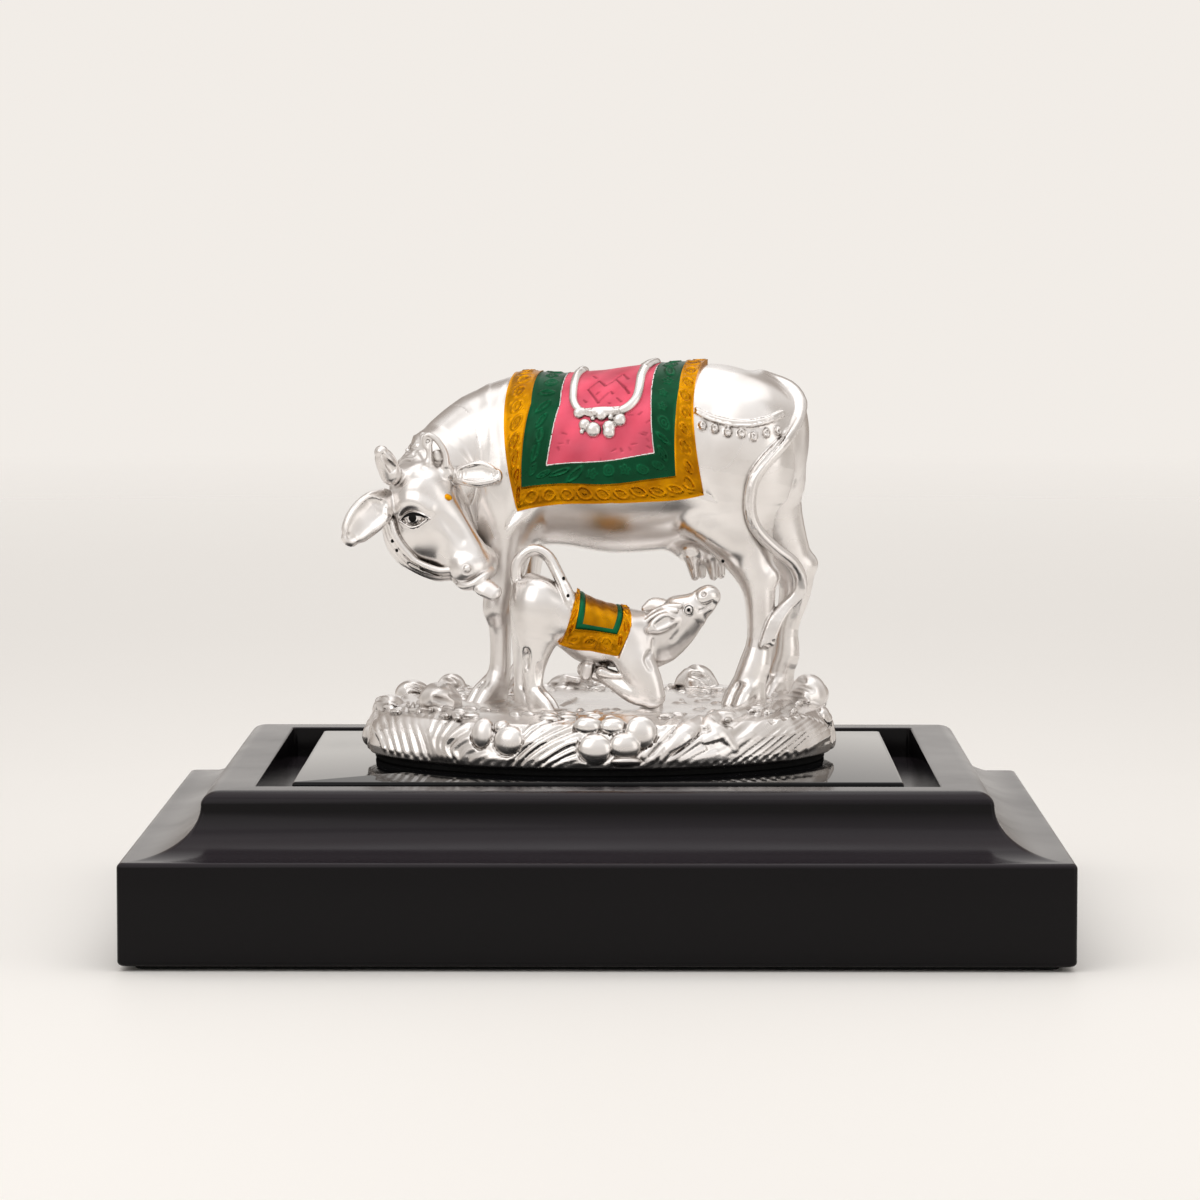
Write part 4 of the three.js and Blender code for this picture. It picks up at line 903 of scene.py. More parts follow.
def ground():
    """The oval ground with its grass, pebbles, leaves, rocks and turf."""
    f = Field()
    rng = np.random.default_rng(11)
    f.add(Disc())
    disc = Field().add(Disc())
    # grass as shallow strokes: those of the front by their places in the photograph, the rest run on round the edge
    strokes_seen = [seen(disc, line) for line in BLADES]
    for line, after in zip(strokes_seen, strokes_seen[1:] + strokes_seen[:1]):
        f.raised(line, *BLADE)
        gap = np.linalg.norm(line[:, None] - after[None], axis=2).min()
        if len(line) == len(after) and 1.9 < gap < 4:
            f.raised((line + after) / 2, *BLADE_GROOVE)
    for turn in np.arange(-0.15, math.pi + 0.2, 0.046):
        slant = 0.055 * (1.0 + math.sin(3 * turn)) + rng.uniform(-0.015, 0.015)
        low, tall = rng.uniform(2.6, 4), rng.uniform(7.6, 9.6)
        line = [rim_point(turn + slant * q, low + tall * q) for q in (0, 0.33, 0.67, 1)]
        f.raised(line, *BLADE)
    # pebbles, each set in a shallow moat
    stones = []
    for x, y, across, tall in PEBBLES:
        spot = seen(disc, (x, y))[0]
        out = unit(spot * (1 / GROUND_HALF[0]**2, 1 / GROUND_HALF[1]**2, 0) + (0, 0, 0.004))
        stones.append((spot, out, across * PIXEL, tall * PIXEL, 2.3))
    for turn in np.arange(-0.1, math.pi + 0.2, 0.31):
        for _ in range(2):
            spot = rim_point(turn + rng.uniform(-0.06, 0.06), rng.uniform(5.4, 11.6))
            stones.append((spot, unit(spot * (1, 1, 0)), rng.uniform(2.4, 3.8), rng.uniform(2.2, 3.5), 2.0))
    for spot, out, across, tall, _ in stones:
        f.cut(Lump(spot + out * 0.1, (0.9, across * 1.1, tall * 1.1), out, (0, 0, 1)), 0.3)
    for spot, out, across, tall, thick in stones:
        f.add(Lump(spot - out * 0.8, (thick, across, tall), out, (0, 0, 1)), 0.2)
    # a thick leaf bundle, crossing ribbons and the root that curls up beside the hoof
    for line, wide in (([(665, 752), (676, 742), (688, 730), (700, 718)], (0.8, 2.0, 2.6, 1.1)),
            ([(700, 718), (714, 726), (724, 735), (735, 749)], (0.8, 1.5, 1.7, 1.0)),
            ([(705, 727), (712, 719), (722, 714)], (0.9, 1.9, 0.9)), ([(704, 741), (716, 735), (730, 730)],
            (0.9, 1.7, 1.0)), ([(712, 713), (730, 716), (748, 709), (759, 699), (762, 691)],
            (1.2, 1.9, 2.1, 2.1, 1.5)), ([(770, 712), (778, 704), (790, 702)], (1.0, 1.5, 0.9)),
            ([(430, 700), (441, 706), (455, 705)], (0.9, 1.5, 0.9)), ([(560, 707), (568, 703), (575, 698)],
            (0.8, 1.3, 0.8))):
        f.add(tapered(seen(disc, line, 0.15), wide, 0.55, (0.2, -0.8, 0.6)), 0.5)
    for centre, radii in ROCKS:
        centre, radii = np.array(centre), np.array(radii)
        f.add(Lump(centre, radii, (1, 0.2, 0)), 1.2)
        for _ in range(4):
            way = unit(rng.normal(size=3) * (1, 1, 0.4) + (0, 0, 0.25))
            f.add(Lump(centre + way * radii * 0.62, radii * rng.uniform(0.36, 0.52), unit(rng.normal(size=3)),
                (0, 0.3, 1)), 0.8)
        for _ in range(3):
            way = unit(rng.normal(size=3) * (1, 0.6, 0.4) + (0, -0.9, 0.4))
            side = unit(np.cross(way, (0.3, 0.2, 1)))
            f.cut(path([centre + (way + side * q) * radii * 0.98 for q in (-0.4, 0, 0.4)], 0.5), 0.9)
    # low stones, shavings of turf and ripples on the flat top
    for _ in range(150):
        angle, reach = rng.uniform(0, 2 * math.pi), rng.uniform(0.7, 0.93)
        x, y = oval_point(angle, reach)
        size, turn = rng.uniform(0.6, 1.3), angle + rng.uniform(0.9, 2.2)
        f.add(Lump((x, y, 14.75 - 1.6 * max(reach - 0.84, 0) * 10), (size * 2.0, size * 0.8, 0.7),
            (math.cos(turn), math.sin(turn), 0)), 0.4)
    for _ in range(46):
        angle, reach = rng.uniform(0, 2 * math.pi), math.sqrt(rng.uniform(0.12, 0.5))
        x, y = oval_point(angle, reach)
        size, turn = rng.uniform(0.6, 1.5), rng.uniform(0, math.pi)
        f.add(Lump((x, y, 14.5), (size * 1.6, size, 0.8), (math.cos(turn), math.sin(turn), 0)), 0.5)
    for x, y in ((-27, -6), (-22, 12), (38, -9), (46, 16.6), (-14.6, -25), (-19, -15)):
        f.add(Lump((x, y, 14.2), (6.2, 5.4, 1.5)), 1.6)
    return f


# ==== blender part ====
SCALE = 1.0
HOLLOW_REACH = 0.9  # how far out the occlusion measure for the painted shade of hollows looks
PAINT_THICK = 0.07
CLOTH_THICK, CALF_SUNK = 0.9, -0.6


def faced(verts, quads, normals):
    """Vertices and normals, mended where a kink of the field turns a normal away from the faces round it."""
    corners = verts[quads]
    across = np.cross(corners[:, 2] - corners[:, 0], corners[:, -1] - corners[:, 1])
    own, middle, share = np.zeros_like(verts), np.zeros_like(verts), np.zeros((len(verts), 1))
    for k in range(quads.shape[1]):
        np.add.at(own, quads[:, k], across)
        np.add.at(middle, quads[:, k], corners.mean(1))
        np.add.at(share, quads[:, k], 1)
    own /= np.maximum(np.linalg.norm(own, axis=1, keepdims=True), 1e-9)
    turned = (own * normals).sum(1, keepdims=True) < 0.7
    return np.where(turned, middle / np.maximum(share, 1), verts), np.where(turned, own, normals)


def make_mesh(name, verts, faces, look=None, node=None, normals=None, values=None, smooth_angle=None):
    """A piece of the part from points and a list of face arrays; a look is a material and its slot name, of which
    only the material is put on the piece.
    """
    mesh = bpy.data.meshes.new(name)
    mesh.vertices.add(len(verts))
    mesh.vertices.foreach_set("co", ((np.asarray(verts) + (0, 0, PLATE_TOP)) * MM).astype(np.float32).ravel())
    faces = [np.atleast_2d(f) for f in faces]
    sizes = np.concatenate([np.full(len(f), f.shape[1]) for f in faces])
    loops = np.concatenate([f.ravel() for f in faces])
    mesh.loops.add(len(loops))
    mesh.loops.foreach_set("vertex_index", loops.astype(np.int32))
    mesh.polygons.add(len(sizes))
    mesh.polygons.foreach_set("loop_start", np.concatenate([[0], np.cumsum(sizes)[:-1]]).astype(np.int32))
    mesh.update(calc_edges=True)
    mesh.validate()
    mesh.shade_smooth()
    if smooth_angle:
        mesh.set_sharp_from_angle(angle=math.radians(smooth_angle))
    piece = bpy.data.objects.new(name, mesh)
    bpy.context.scene.collection.objects.link(piece)
    if values is not None:
        mesh.attributes.new("hollow", "FLOAT", "POINT").data.foreach_set("value", values.astype(np.float32))
    if normals is not None:
        mesh.normals_split_custom_set_from_vertices(normals.tolist())
    if look:
        material, slot = look
        mesh.materials.append(material)
        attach(piece, "root")
        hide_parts(node)
    return piece


def carve(name, field, low, high, cell, look, most=190000):
    """Sculpts a field into a piece of at most so many triangles, shaded by the field's own slope."""
    verts, quads = sculpt(field, low, high, cell * SCALE)
    if 2 * len(quads) > most:
        rough = make_mesh(name + "_rough", verts, [quads])
        shrink = rough.modifiers.new("shrink", "DECIMATE")
        shrink.ratio = most / (2 * len(quads))
        shown = rough.evaluated_get(bpy.context.evaluated_depsgraph_get()).to_mesh()
        verts = np.empty(len(shown.vertices) * 3, np.float32)
        shown.vertices.foreach_get("co", verts)
        verts = verts.reshape(-1, 3).astype(float) / MM - (0, 0, PLATE_TOP)
        shown.calc_loop_triangles()
        quads = np.empty(len(shown.loop_triangles) * 3, np.int32)
        shown.loop_triangles.foreach_get("vertices", quads)
        quads = quads.reshape(-1, 3)
        bpy.data.objects.remove(rough)
    normals = normals_of(field, verts, min(0.1, 0.4 * cell))
    verts, normals = faced(verts, quads, normals)
    # painted shade: an occlusion measure of how hollow each point is, from the field a little way out along its
    # normal; the materials darken their colour by it
    hollow = np.clip(1 - field(verts + normals * HOLLOW_REACH, HOLLOW_REACH) / HOLLOW_REACH, -0.3, 1)
    make_mesh(name, verts, [quads], look, "cow_and_calf", normals, hollow)


# ---- materials ----
class Paint:
    """A Principled material whose colour, roughness and bump come from noise in the object's own space."""

    def __init__(self, name, roughness, **sockets):
        self.material = bpy.data.materials.new(name)
        self.material.use_nodes = True
        self.tree = self.material.node_tree
        self.shader = self.tree.nodes["Principled BSDF"]
        self.shader.inputs["Roughness"].default_value = roughness
        for socket, value in sockets.items():
            self.shader.inputs[socket.replace("_", " ")].default_value = value
        self.place = self.tree.nodes.new("ShaderNodeTexCoord").outputs["Object"]

    def link(self, a, b):
        self.tree.links.new(a, b)

    def node(self, kind, **values):
        n = self.tree.nodes.new(kind)
        for key, value in values.items():
            setattr(n, key, value)
        return n

    def noise(self, scale, detail=3.0, stretch=None):
        n = self.node("ShaderNodeTexNoise")
        n.inputs["Scale"].default_value = scale
        n.inputs["Detail"].default_value = detail
        if stretch:
            turn = self.node("ShaderNodeMapping")
            turn.inputs["Scale"].default_value = stretch
            self.link(self.place, turn.inputs["Vector"])
            self.link(turn.outputs["Vector"], n.inputs["Vector"])
        else:
            self.link(self.place, n.inputs["Vector"])
        return n.outputs["Fac"]

    def ranged(self, value, low, high, to_low, to_high):
        n = self.node("ShaderNodeMapRange")
        for socket, number in zip(("From Min", "From Max", "To Min", "To Max"), (low, high, to_low, to_high)):
            n.inputs[socket].default_value = number
        self.link(value, n.inputs["Value"])
        return n.outputs["Result"]

    def mixed(self, factor, one, two):
        n = self.node("ShaderNodeMix", data_type="RGBA")
        self.link(factor, n.inputs[0])
        a, b = [socket for socket in n.inputs if socket.type == "RGBA"]
        for socket, colour in ((a, one), (b, two)):
            if isinstance(colour, tuple):
                socket.default_value = (*colour, 1)
            else:
                self.link(colour, socket)
        return next(o for o in n.outputs if o.type == "RGBA")

    def hollow(self):
        n = self.node("ShaderNodeAttribute")
        n.attribute_name = "hollow"
        return n.outputs["Fac"]

    def upward(self):
        """How far the surface faces up, which sets where painted light from above goes."""
        parts = self.node("ShaderNodeSeparateXYZ")
        self.link(self.node("ShaderNodeNewGeometry").outputs["Normal"], parts.inputs["Vector"])
        return self.ranged(parts.outputs["Z"], 0.15, 0.8, 0, 1)

    def colour(self, value):
        self.link(value, self.shader.inputs["Base Color"])

    def rough(self, value):
        self.link(value, self.shader.inputs["Roughness"])

    def bump(self, value, distance, strength=1.0):
        n = self.node("ShaderNodeBump")
        n.inputs["Distance"].default_value = distance * MM
        n.inputs["Strength"].default_value = strength
        self.link(value, n.inputs["Height"])
        self.link(n.outputs["Normal"], self.shader.inputs["Normal"])


def silver_paint(name, bright, dull, low, high):
    """Plated metal that goes dull in patches, with brown patina and painted shade in its hollows."""
    p = Paint(name, 0.25, Metallic=1.0)
    tone = p.mixed(p.ranged(p.noise(70, 4), 0.38, 0.66, 0, 1), bright, dull)
    # patina and painted shade: the hollow attribute darkens the metal toward brown
    patina_and_shade = p.mixed(p.ranged(p.hollow(), 0.22, 0.85, 0, 0.8), tone, (0.20, 0.165, 0.14))
    p.colour(patina_and_shade)
    p.rough(p.ranged(p.noise(45, 3), 0.3, 0.7, low, high))
    p.bump(p.noise(1500, 2), 0.012, 0.5)
    return p.material, name


def enamel(name, light, deep, low, high, **sockets):
    """Coloured paint on metal, darkened in its hollows as painted shade."""
    p = Paint(name, 0.3, **sockets)
    tone = p.mixed(p.ranged(p.noise(160, 4), 0.35, 0.68, 0, 1), light, deep)
    # painted shade: toward 0.22 of the deep tone where the hollow attribute is high
    p.colour(p.mixed(p.ranged(p.hollow(), 0.1, 0.8, 0, 0.75), tone, tuple(c * 0.22 for c in deep)))
    p.rough(p.ranged(p.noise(300, 2), 0.3, 0.7, low, high))
    p.bump(p.noise(700, 3), 0.03, 0.5)
    return p.material, name


SILVER = silver_paint("silver", (0.86, 0.83, 0.81), (0.74, 0.705, 0.68), 0.2, 0.34)
GOLD = enamel("gold_enamel", (0.74, 0.315, 0.001), (0.46, 0.17, 0.0005), 0.22, 0.36, Metallic=0.96, Coat_Weight=0.03)
GREEN = enamel("green_enamel", (0.0, 0.125, 0.045), (0.0, 0.075, 0.025), 0.25, 0.4, Metallic=0.7, Coat_Weight=0.1,
    IOR=1.3)
PINK = enamel("pink_enamel", (1.0, 0.17, 0.255), (0.97, 0.13, 0.205), 0.4, 0.56, Metallic=0.8, IOR=1.25)
BLACK = enamel("black_enamel", (0.003, 0.003, 0.003), (0.006, 0.0055, 0.005), 0.4, 0.55, IOR=1.2)


def lacquer(name, low, high, tone, painted_top_light):
    """Black lacquer with painted light on what faces up: a lighter, purple-grey tone where light from above falls."""
    p = Paint(name, 0.12, IOR=1.22)
    base = p.mixed(p.noise(14, 3), tone, tuple(c * 1.35 for c in tone))
    # painted light: what faces up is mixed toward a lighter, purple-grey tone
    p.colour(p.mixed(p.upward(), base, painted_top_light))
    p.rough(p.ranged(p.noise(30, 4), 0.3, 0.7, low, high))
    p.bump(p.noise(26, 2), 0.02, 0.25)
    return p.material, name


LACQUER = lacquer("black_lacquer", 0.14, 0.22, (0.004, 0.0034, 0.0038), (0.021, 0.017, 0.0205))
POLISH = lacquer("polished_black", 0.03, 0.06, (0.003, 0.003, 0.0035), (0.004, 0.004, 0.0045))


def felt_paint(name, tone):
    """A dark, fuzzy cloth."""
    p = Paint(name, 0.95, IOR=1.15)
    p.colour(p.mixed(p.noise(900, 5), tone, tuple(c * 2.4 for c in tone)))
    p.bump(p.noise(2600, 3), 0.15, 0.8)
    return p.material, name


# ---- swept base ----
def swept(name, profile, outline, steps, look, node):
    """A solid of rings that follow a profile of [inset, z], closed by flat ends."""
    rings = [outline(inset, steps) for inset, _ in profile]
    count = len(rings[0])
    verts = np.vstack([np.column_stack([ring, np.full(count, z - PLATE_TOP)]) for ring,
        (_, z) in zip(rings, profile)])
    turn = np.arange(count)
    faces = []
    for i in range(len(profile) - 1):
        a, b = i * count + turn, i * count + np.roll(turn, -1)
        faces.append(np.stack([a, b, b + count, a + count], 1))
    last = (len(profile) - 1) * count
    make_mesh(name, verts, [*faces, turn[::-1].copy(), last + turn], look, node, smooth_angle=28)


def box_outline(half, radius):
    """A rectangle with rounded corners, drawn in by each ring's inset."""
    def outline(inset, steps):
        size = np.array(half) - inset
        points = []
        for corner, (sx, sy) in enumerate(((1, -1), (1, 1), (-1, 1), (-1, -1))):
            for t in np.linspace(-math.pi / 2, 0, steps) + corner * math.pi / 2:
                points.append((sx * (size[0] - radius) + radius * math.cos(t),
                    sy * (size[1] - radius) + radius * math.sin(t)))
        return np.array(points)
    return outline


def oval_outline(half):
    """An ellipse, drawn in by each ring's inset."""
    def outline(inset, steps):
        t = np.linspace(0, 2 * math.pi, steps, endpoint=False)
        return np.stack([(half[0] - inset) * np.cos(t), (half[1] - inset) * np.sin(t)], 1)
    return outline


def arc(centre, radii, start, end, steps):
    """Points of a profile on a quarter or less of an ellipse, between two angles in degrees."""
    t = np.radians(np.linspace(start, end, steps))
    return [(centre[0] - radii[0] * math.cos(a), centre[1] + radii[1] * math.sin(a)) for a in t]


plinth = [(3.2, 1), (2.0, 1), *arc((1.3, 2.3), (1.3, 1.3), -90, 0, 6), *arc((1.3, 24.7), (1.3, 1.3), 0, 90, 6)]
plinth += [(2.3 + 16.3 * math.sin(t), 37.5 - 11.5 * math.cos(t)) for t in np.radians(np.linspace(0, 90, 25))]
plinth += [(23 - 4.4 * math.cos(t), 37.5 + 3.5 * math.sin(t)) for t in np.radians(np.linspace(6, 90, 15))]
plinth += [(30.4, 41), *arc((30.4, 40.4), (-0.6, 0.6), 90, 0, 4), (31, 33)]
swept("plinth_moulding", plinth, box_outline((115, 100), 1.3), 7, LACQUER, "plinth")
plate = [(0.5, 33), (0, 33.4), (0, 40.2), *arc((0.8, 40.2), (0.8, 0.8), 0, 90, 5)]
swept("plate_top", plate, box_outline((75.5, 60.5), 0.8), 5, POLISH, "plate")
pad = [(0.4, 41), *arc((0.5, 41.5), (0.5, 0.5), -60, 0, 3), *arc((0.5, 42.3), (0.5, 0.5), 0, 90, 4)]
swept("foot_pad_oval", pad, oval_outline((58, 48.8)), 180, felt_paint("black_pad", (0.006, 0.006, 0.006)), "foot_pad")
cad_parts["felt"].data.materials.clear()
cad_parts["felt"].data.materials.append(felt_paint("black_felt", (0.01, 0.01, 0.01))[0])


# ---- cloths ----
def loop_points(sides, counts):
    """Points of a closed loop given as four sides of (along, part) rows, each side evenly resampled."""
    out = []
    for rows, count in zip(sides, counts):
        rows = np.asarray(rows, float)
        gone = np.concatenate([[0], np.cumsum(np.hypot(*(np.diff(rows, axis=0) * (50, 70)).T))])
        at = np.linspace(0, gone[-1], count, endpoint=False)
        out.append(np.stack([np.interp(at, gone, rows[:, i]) for i in (0, 1)], 1))
    return np.vstack(out)


def round_loop(front, hem, rear):
    """A loop that mirrors the measured near side on the far side: front, near hem, rear, far hem."""
    far = lambda rows: [(a, -p) for a, p in rows]
    return [far(front)[::-1][:-1] + front, hem, rear + far(rear)[::-1][1:], far(hem)[::-1]]


def relief_sheet(name, cloth, one, two, across, height, look, closed=True, sunk=-1.0):
    """A closed shell between two lines of (along, part), raised by height(s, t, width) in mm."""
    t = np.linspace(0, 1, across)
    grid = one[:, None] + (two - one)[:, None] * t[None, :, None]
    base = cloth.point(grid[..., 0], grid[..., 1], CLOTH_THICK)
    mid = base[:, across // 2]
    step = np.linalg.norm(np.diff(mid, axis=0, append=mid[:1]), axis=1)
    s = np.concatenate([[0], np.cumsum(step)[:-1]])
    width = np.linalg.norm(base[:, -1] - base[:, 0], axis=1)
    lift = height(s[:, None] + 0 * t[None], t[None] + 0 * s[:, None], width[:, None] + 0 * t[None], step.sum())
    top = cloth.point(grid[..., 0], grid[..., 1], CLOTH_THICK + lift)
    bottom = cloth.point(grid[:, (0, -1), 0], grid[:, (0, -1), 1], sunk)
    n = len(one)
    verts = np.vstack([top.reshape(-1, 3), bottom.reshape(-1, 3)])
    rows = np.arange(n if closed else n - 1)
    after = (rows + 1) % n
    a = rows[:, None] * across + np.arange(across - 1)[None]
    b = after[:, None] * across + np.arange(across - 1)[None]
    faces = [np.stack([a, b, b + 1, a + 1], -1).reshape(-1, 4)]
    low = n * across
    left, left2 = low + 2 * rows, low + 2 * after
    first, first2 = rows * across, after * across
    faces.append(np.stack([first, left, left2, first2], 1))
    faces.append(np.stack([first + across - 1, first2 + across - 1, left2 + 1, left + 1], 1))
    faces.append(np.stack([left, left + 1, left2 + 1, left2], 1))
    if not closed:
        faces.append(np.array([*range(across), low + 1, low]))
        end = (n - 1) * across
        faces.append(np.array([*range(end + across - 1, end - 1, -1), low + 2 * n - 2, low + 2 * n - 1]))
    # painted shade: the low parts of the relief get a higher hollow value, so the materials darken them, and the
    # sheet's sides get a middling one
    hollow = np.concatenate([np.clip(0.45 - lift.ravel() * 1.6, 0, 1), np.full(2 * n, 0.5)])
    make_mesh(name, verts, faces, look, "cow_and_calf", values=hollow, smooth_angle=60)


def repeats(s, total, pitch):
    """How many marks fit along a border, the mark that each place belongs to and how far it is from its centre."""
    count = int(round(total / pitch))
    place = s / total * count
    return count, np.floor(place).astype(int) % count, (place - np.floor(place) - 0.5) * total / count


def lips(t, width):
    """The two raised edges of a border."""
    return bump(t * width / 0.4) + bump((1 - t) * width / 0.4)


def studs(pitch, radius, seed):
    """Ring reliefs along a border, each with its own size and centre, between two raised lips."""
    def height(s, t, width, total):
        rng = np.random.default_rng(seed)
        count, index, x = repeats(s, total, pitch)
        sizes, kinds = rng.uniform(0.85, 1.12, count), rng.integers(0, 4, count)
        y = (t - 0.5) * width + 0.25 * np.sin(index * 2.3)
        room = np.minimum(radius * sizes[index], width * 0.34)
        far = np.hypot(x, y)
        out = 0.34 * bump((far - room) / 0.26) - 0.12 * (far < room)
        kind = kinds[index]
        out = out + np.where(kind < 3, 0.3 * bump(far / 0.36), 0)
        out = out + np.where(kind == 1, 0.2 * bump((far - room * 0.55) / 0.16), 0)
        spiral = 0.22 * bump((np.sin(far * 5.2 - np.arctan2(y, x))) / 0.5) * (far < room)
        out = out + np.where(kind == 3, spiral, 0)
        out = out + 0.14 * bump(np.hypot(np.abs(x) - total / count / 2, np.abs(y) - width * 0.26) / 0.35)
        return out + 0.2 * lips(t, width) + 0.08
    return height


def foliage(pitch, seed):
    """Embossed rosettes and leaves along the green band."""
    def height(s, t, width, total):
        rng = np.random.default_rng(seed)
        count, index, x = repeats(s, total, pitch)
        kinds, turns, sizes = rng.integers(0, 3, count), rng.uniform(0, 3.1, count), rng.uniform(0.8, 1.15, count)
        y = (t - 0.5) * width + 0.5 * np.sin(index * 1.7)
        a, size = turns[index], sizes[index]
        u, v = x * np.cos(a) + y * np.sin(a), y * np.cos(a) - x * np.sin(a)
        far = np.hypot(x, y)
        ring = 0.3 * bump((far - 1.35 * size) / 0.22) + 0.22 * bump((far - 0.6 * size) / 0.2)
        leaf = np.hypot(u / 2.0, v / 0.95) / size
        leaf = 0.3 * bump((leaf - 1) / 0.22) + 0.12 * (leaf < 1) - 0.14 * bump(v / 0.16) * (leaf < 0.9)
        petals = far - 1.0 * size * (1 + 0.28 * np.cos(5 * np.arctan2(y, x)))
        petals = 0.28 * bump(petals / 0.22) + 0.24 * bump(far / 0.35)
        out = np.choose(kinds[index], [ring, leaf, petals])
        return out - 0.1 + 0.14 * lips(t, width)
    return height


FIELD_LONG, FIELD_DEEP, MARKS = 50, 62, 26  # the pink field's size in mm and its number of strewn marks
STROKES = [(588.1, 388.9, 598.2, 401.9, 0.3), (598.2, 401.9, 608.4, 392.1, 0.16), (588.1, 388.9, 599.3, 380.2, 0.16),
    (599.3, 380.2, 605.3, 385.1, 0.3), (616.1, 378.8, 624.6, 386.5, 0.3), (624.6, 386.5, 628.8, 392.5, 0.34),
    (623.2, 373.5, 628.1, 378.1, 0.26), (593, 375.3, 596.5, 377.7, 0.24), (611.2, 390.7, 612.6, 392.8, 0.3),
    (616.8, 397, 621, 400.9, 0.26), (595.8, 394.2, 598.6, 391.4, 0.2), (605.3, 385.1, 612, 381.6, 0.14),
    (612, 381.6, 621.8, 373.9, 0.14), (608.6, 402, 609.6, 402.4, 0.24), (583.9, 399.1, 586, 401.2, 0.26)]


def strokes():
    """Engraved lines of the field as the (along, part) of both ends and a depth, with marks strewn below."""
    rng = np.random.default_rng(4)
    skin = Field().add(cow_trunk)
    rows = np.array(STROKES)
    ends = [np.stack(cow_cloth.locate(seen(skin, rows[:, i:i + 2], 1.0)), 1) for i in (0, 2)]
    lines = np.column_stack([*ends, rows[:, 4]])
    marks = np.column_stack([rng.uniform(0.24, 0.76, MARKS), rng.uniform(-0.78, -0.52, MARKS)])
    turn = rng.uniform(0, 2 * math.pi, MARKS)
    far = marks + np.column_stack([np.cos(turn) / 42, np.sin(turn) / 52])
    lines = np.vstack([lines, np.column_stack([marks, far, rng.uniform(0.08, 0.22, MARKS)])])
    return np.vstack([lines, lines * (1, -1, 1, -1, 1)])


def pink_relief():
    """The waves and engraved lines of the pink field."""
    lines = strokes()

    def height(along, part):
        out = 0.04 * np.sin(along * 37 + np.abs(part) * 21) + 0.03 * np.sin(along * 14 - np.abs(part) * 17)
        x, y = along * FIELD_LONG, part * FIELD_DEEP
        for a0, p0, a1, p1, depth in lines:
            start, run = np.array([a0 * FIELD_LONG, p0 * FIELD_DEEP]), np.array([(a1 - a0) * FIELD_LONG,
                (p1 - p0) * FIELD_DEEP])
            share = ((x - start[0]) * run[0] + (y - start[1]) * run[1]) / max(run @ run, 1e-6)
            share = np.clip(share, 0, 1)
            gap = np.hypot(x - start[0] - share * run[0], y - start[1] - share * run[1])
            out = out - depth * bump(gap / (0.18 + 0.16 * share))
        return out
    return height


GOLD_IN = ([(0.141, 0), (0.141, -0.117), (0.142, -0.431), (0.076, -0.763), (0.052, -0.905)],
    [(0.052, -0.905), (0.507, -0.909), (0.872, -0.907)], [(0.872, -0.907), (0.906, -0.572), (0.917, -0.399),
    (0.907, -0.102), (0.907, 0)])
GREEN_IN = ([(0.285, 0), (0.295, -0.428), (0.249, -0.634), (0.204, -0.797)],
    [(0.204, -0.797), (0.436, -0.788), (0.777, -0.773)], [(0.777, -0.773), (0.776, -0.531), (0.764, -0.143),
    (0.764, 0)])
HEM_OUT = ([(0, 0), (0, -1.05)], [(0, -1.05), (0.5, -1.015), (1, -1.055)], [(1, -1.055), (1, 0)])
CALF_IN = ([(0.049, 0), (0.129, -0.758)], [(0.129, -0.758), (0.829, -0.748)],
    [(0.829, -0.748), (0.872, -0.071), (0.872, 0)])


def inset_loop(rows, by):
    """The same three sides moved inward by a share of the cloth."""
    front, hem, rear = rows
    return ([(a + by, p + (by * 0.8 if p < -0.7 else 0)) for a, p in front],
        [(a + by * (1 - 2 * (a > 0.5)), p + by * 0.8) for a, p in hem], [(a - by,
        p + (by * 0.8 if p < -0.7 else 0)) for a, p in rear])


def rounds(per_side, *outlines):
    """Closed loops with the same number of points, so many on the ends and the hems of a cloth."""
    counts = [int(n * FINE) for n in per_side * 2]
    return [loop_points(round_loop(*sides), counts) for sides in outlines]


def stripe(s, t, width, total):
    """The rounded green line of the calf's cloth."""
    return 0.22 * np.sin(t * math.pi) - 0.02


FINE = 1 / SCALE
CALF_FIELD = inset_loop(CALF_IN, 0.1)
hem, gold_in, green_in = rounds((400, 150), HEM_OUT, GOLD_IN, GREEN_IN)
relief_sheet("cow_cloth_border", cow_cloth, hem, gold_in, 24, studs(4.6, 1.5, 3), GOLD)
relief_sheet("cow_cloth_band", cow_cloth, gold_in, green_in, 22, foliage(4.2, 8), GREEN)
hem, gold_in, green_in = rounds((150, 60), HEM_OUT, CALF_IN, CALF_FIELD)
relief_sheet("calf_cloth_border", calf_cloth, hem, gold_in, 18, studs(4.1, 1.2, 5), GOLD, sunk=CALF_SUNK)
relief_sheet("calf_cloth_stripe", calf_cloth, gold_in, green_in, 8, stripe, GREEN, sunk=CALF_SUNK)


def field_sheet(name, cloth, sides, rows, across, lift_of, look, sunk):
    """The middle of a cloth: a sheet that runs from hem to hem between its front and rear lines."""
    front, _, rear = sides
    both = []
    for line in (front, rear):
        near = np.array(sorted(line, key=lambda q: q[1]))
        far = near[::-1] * (1, -1)
        line = np.vstack([near, far[1:] if near[-1, 1] == 0 else far])
        part = np.linspace(line[0, 1], line[-1, 1], rows)
        both.append(np.stack([np.interp(part, line[:, 1], line[:, 0]), part], 1))
    one, two = both

    def height(s, t, width, total):
        along = one[:, :1] + (two[:, :1] - one[:, :1]) * t
        part = one[:, 1:] + (two[:, 1:] - one[:, 1:]) * t
        return lift_of(along, part)

    relief_sheet(name, cloth, one, two, across, height, look, closed=False, sunk=sunk)


def calf_waves(along, part):
    return 0.05 * np.sin(along * 29 + part * 13)


field_sheet("cow_cloth_field", cow_cloth, GREEN_IN, int(430 * FINE), int(110 * FINE), pink_relief(), PINK, -1.0)
field_sheet("calf_cloth_field", calf_cloth, CALF_FIELD, int(120 * FINE), int(30 * FINE), calf_waves, GOLD, CALF_SUNK)

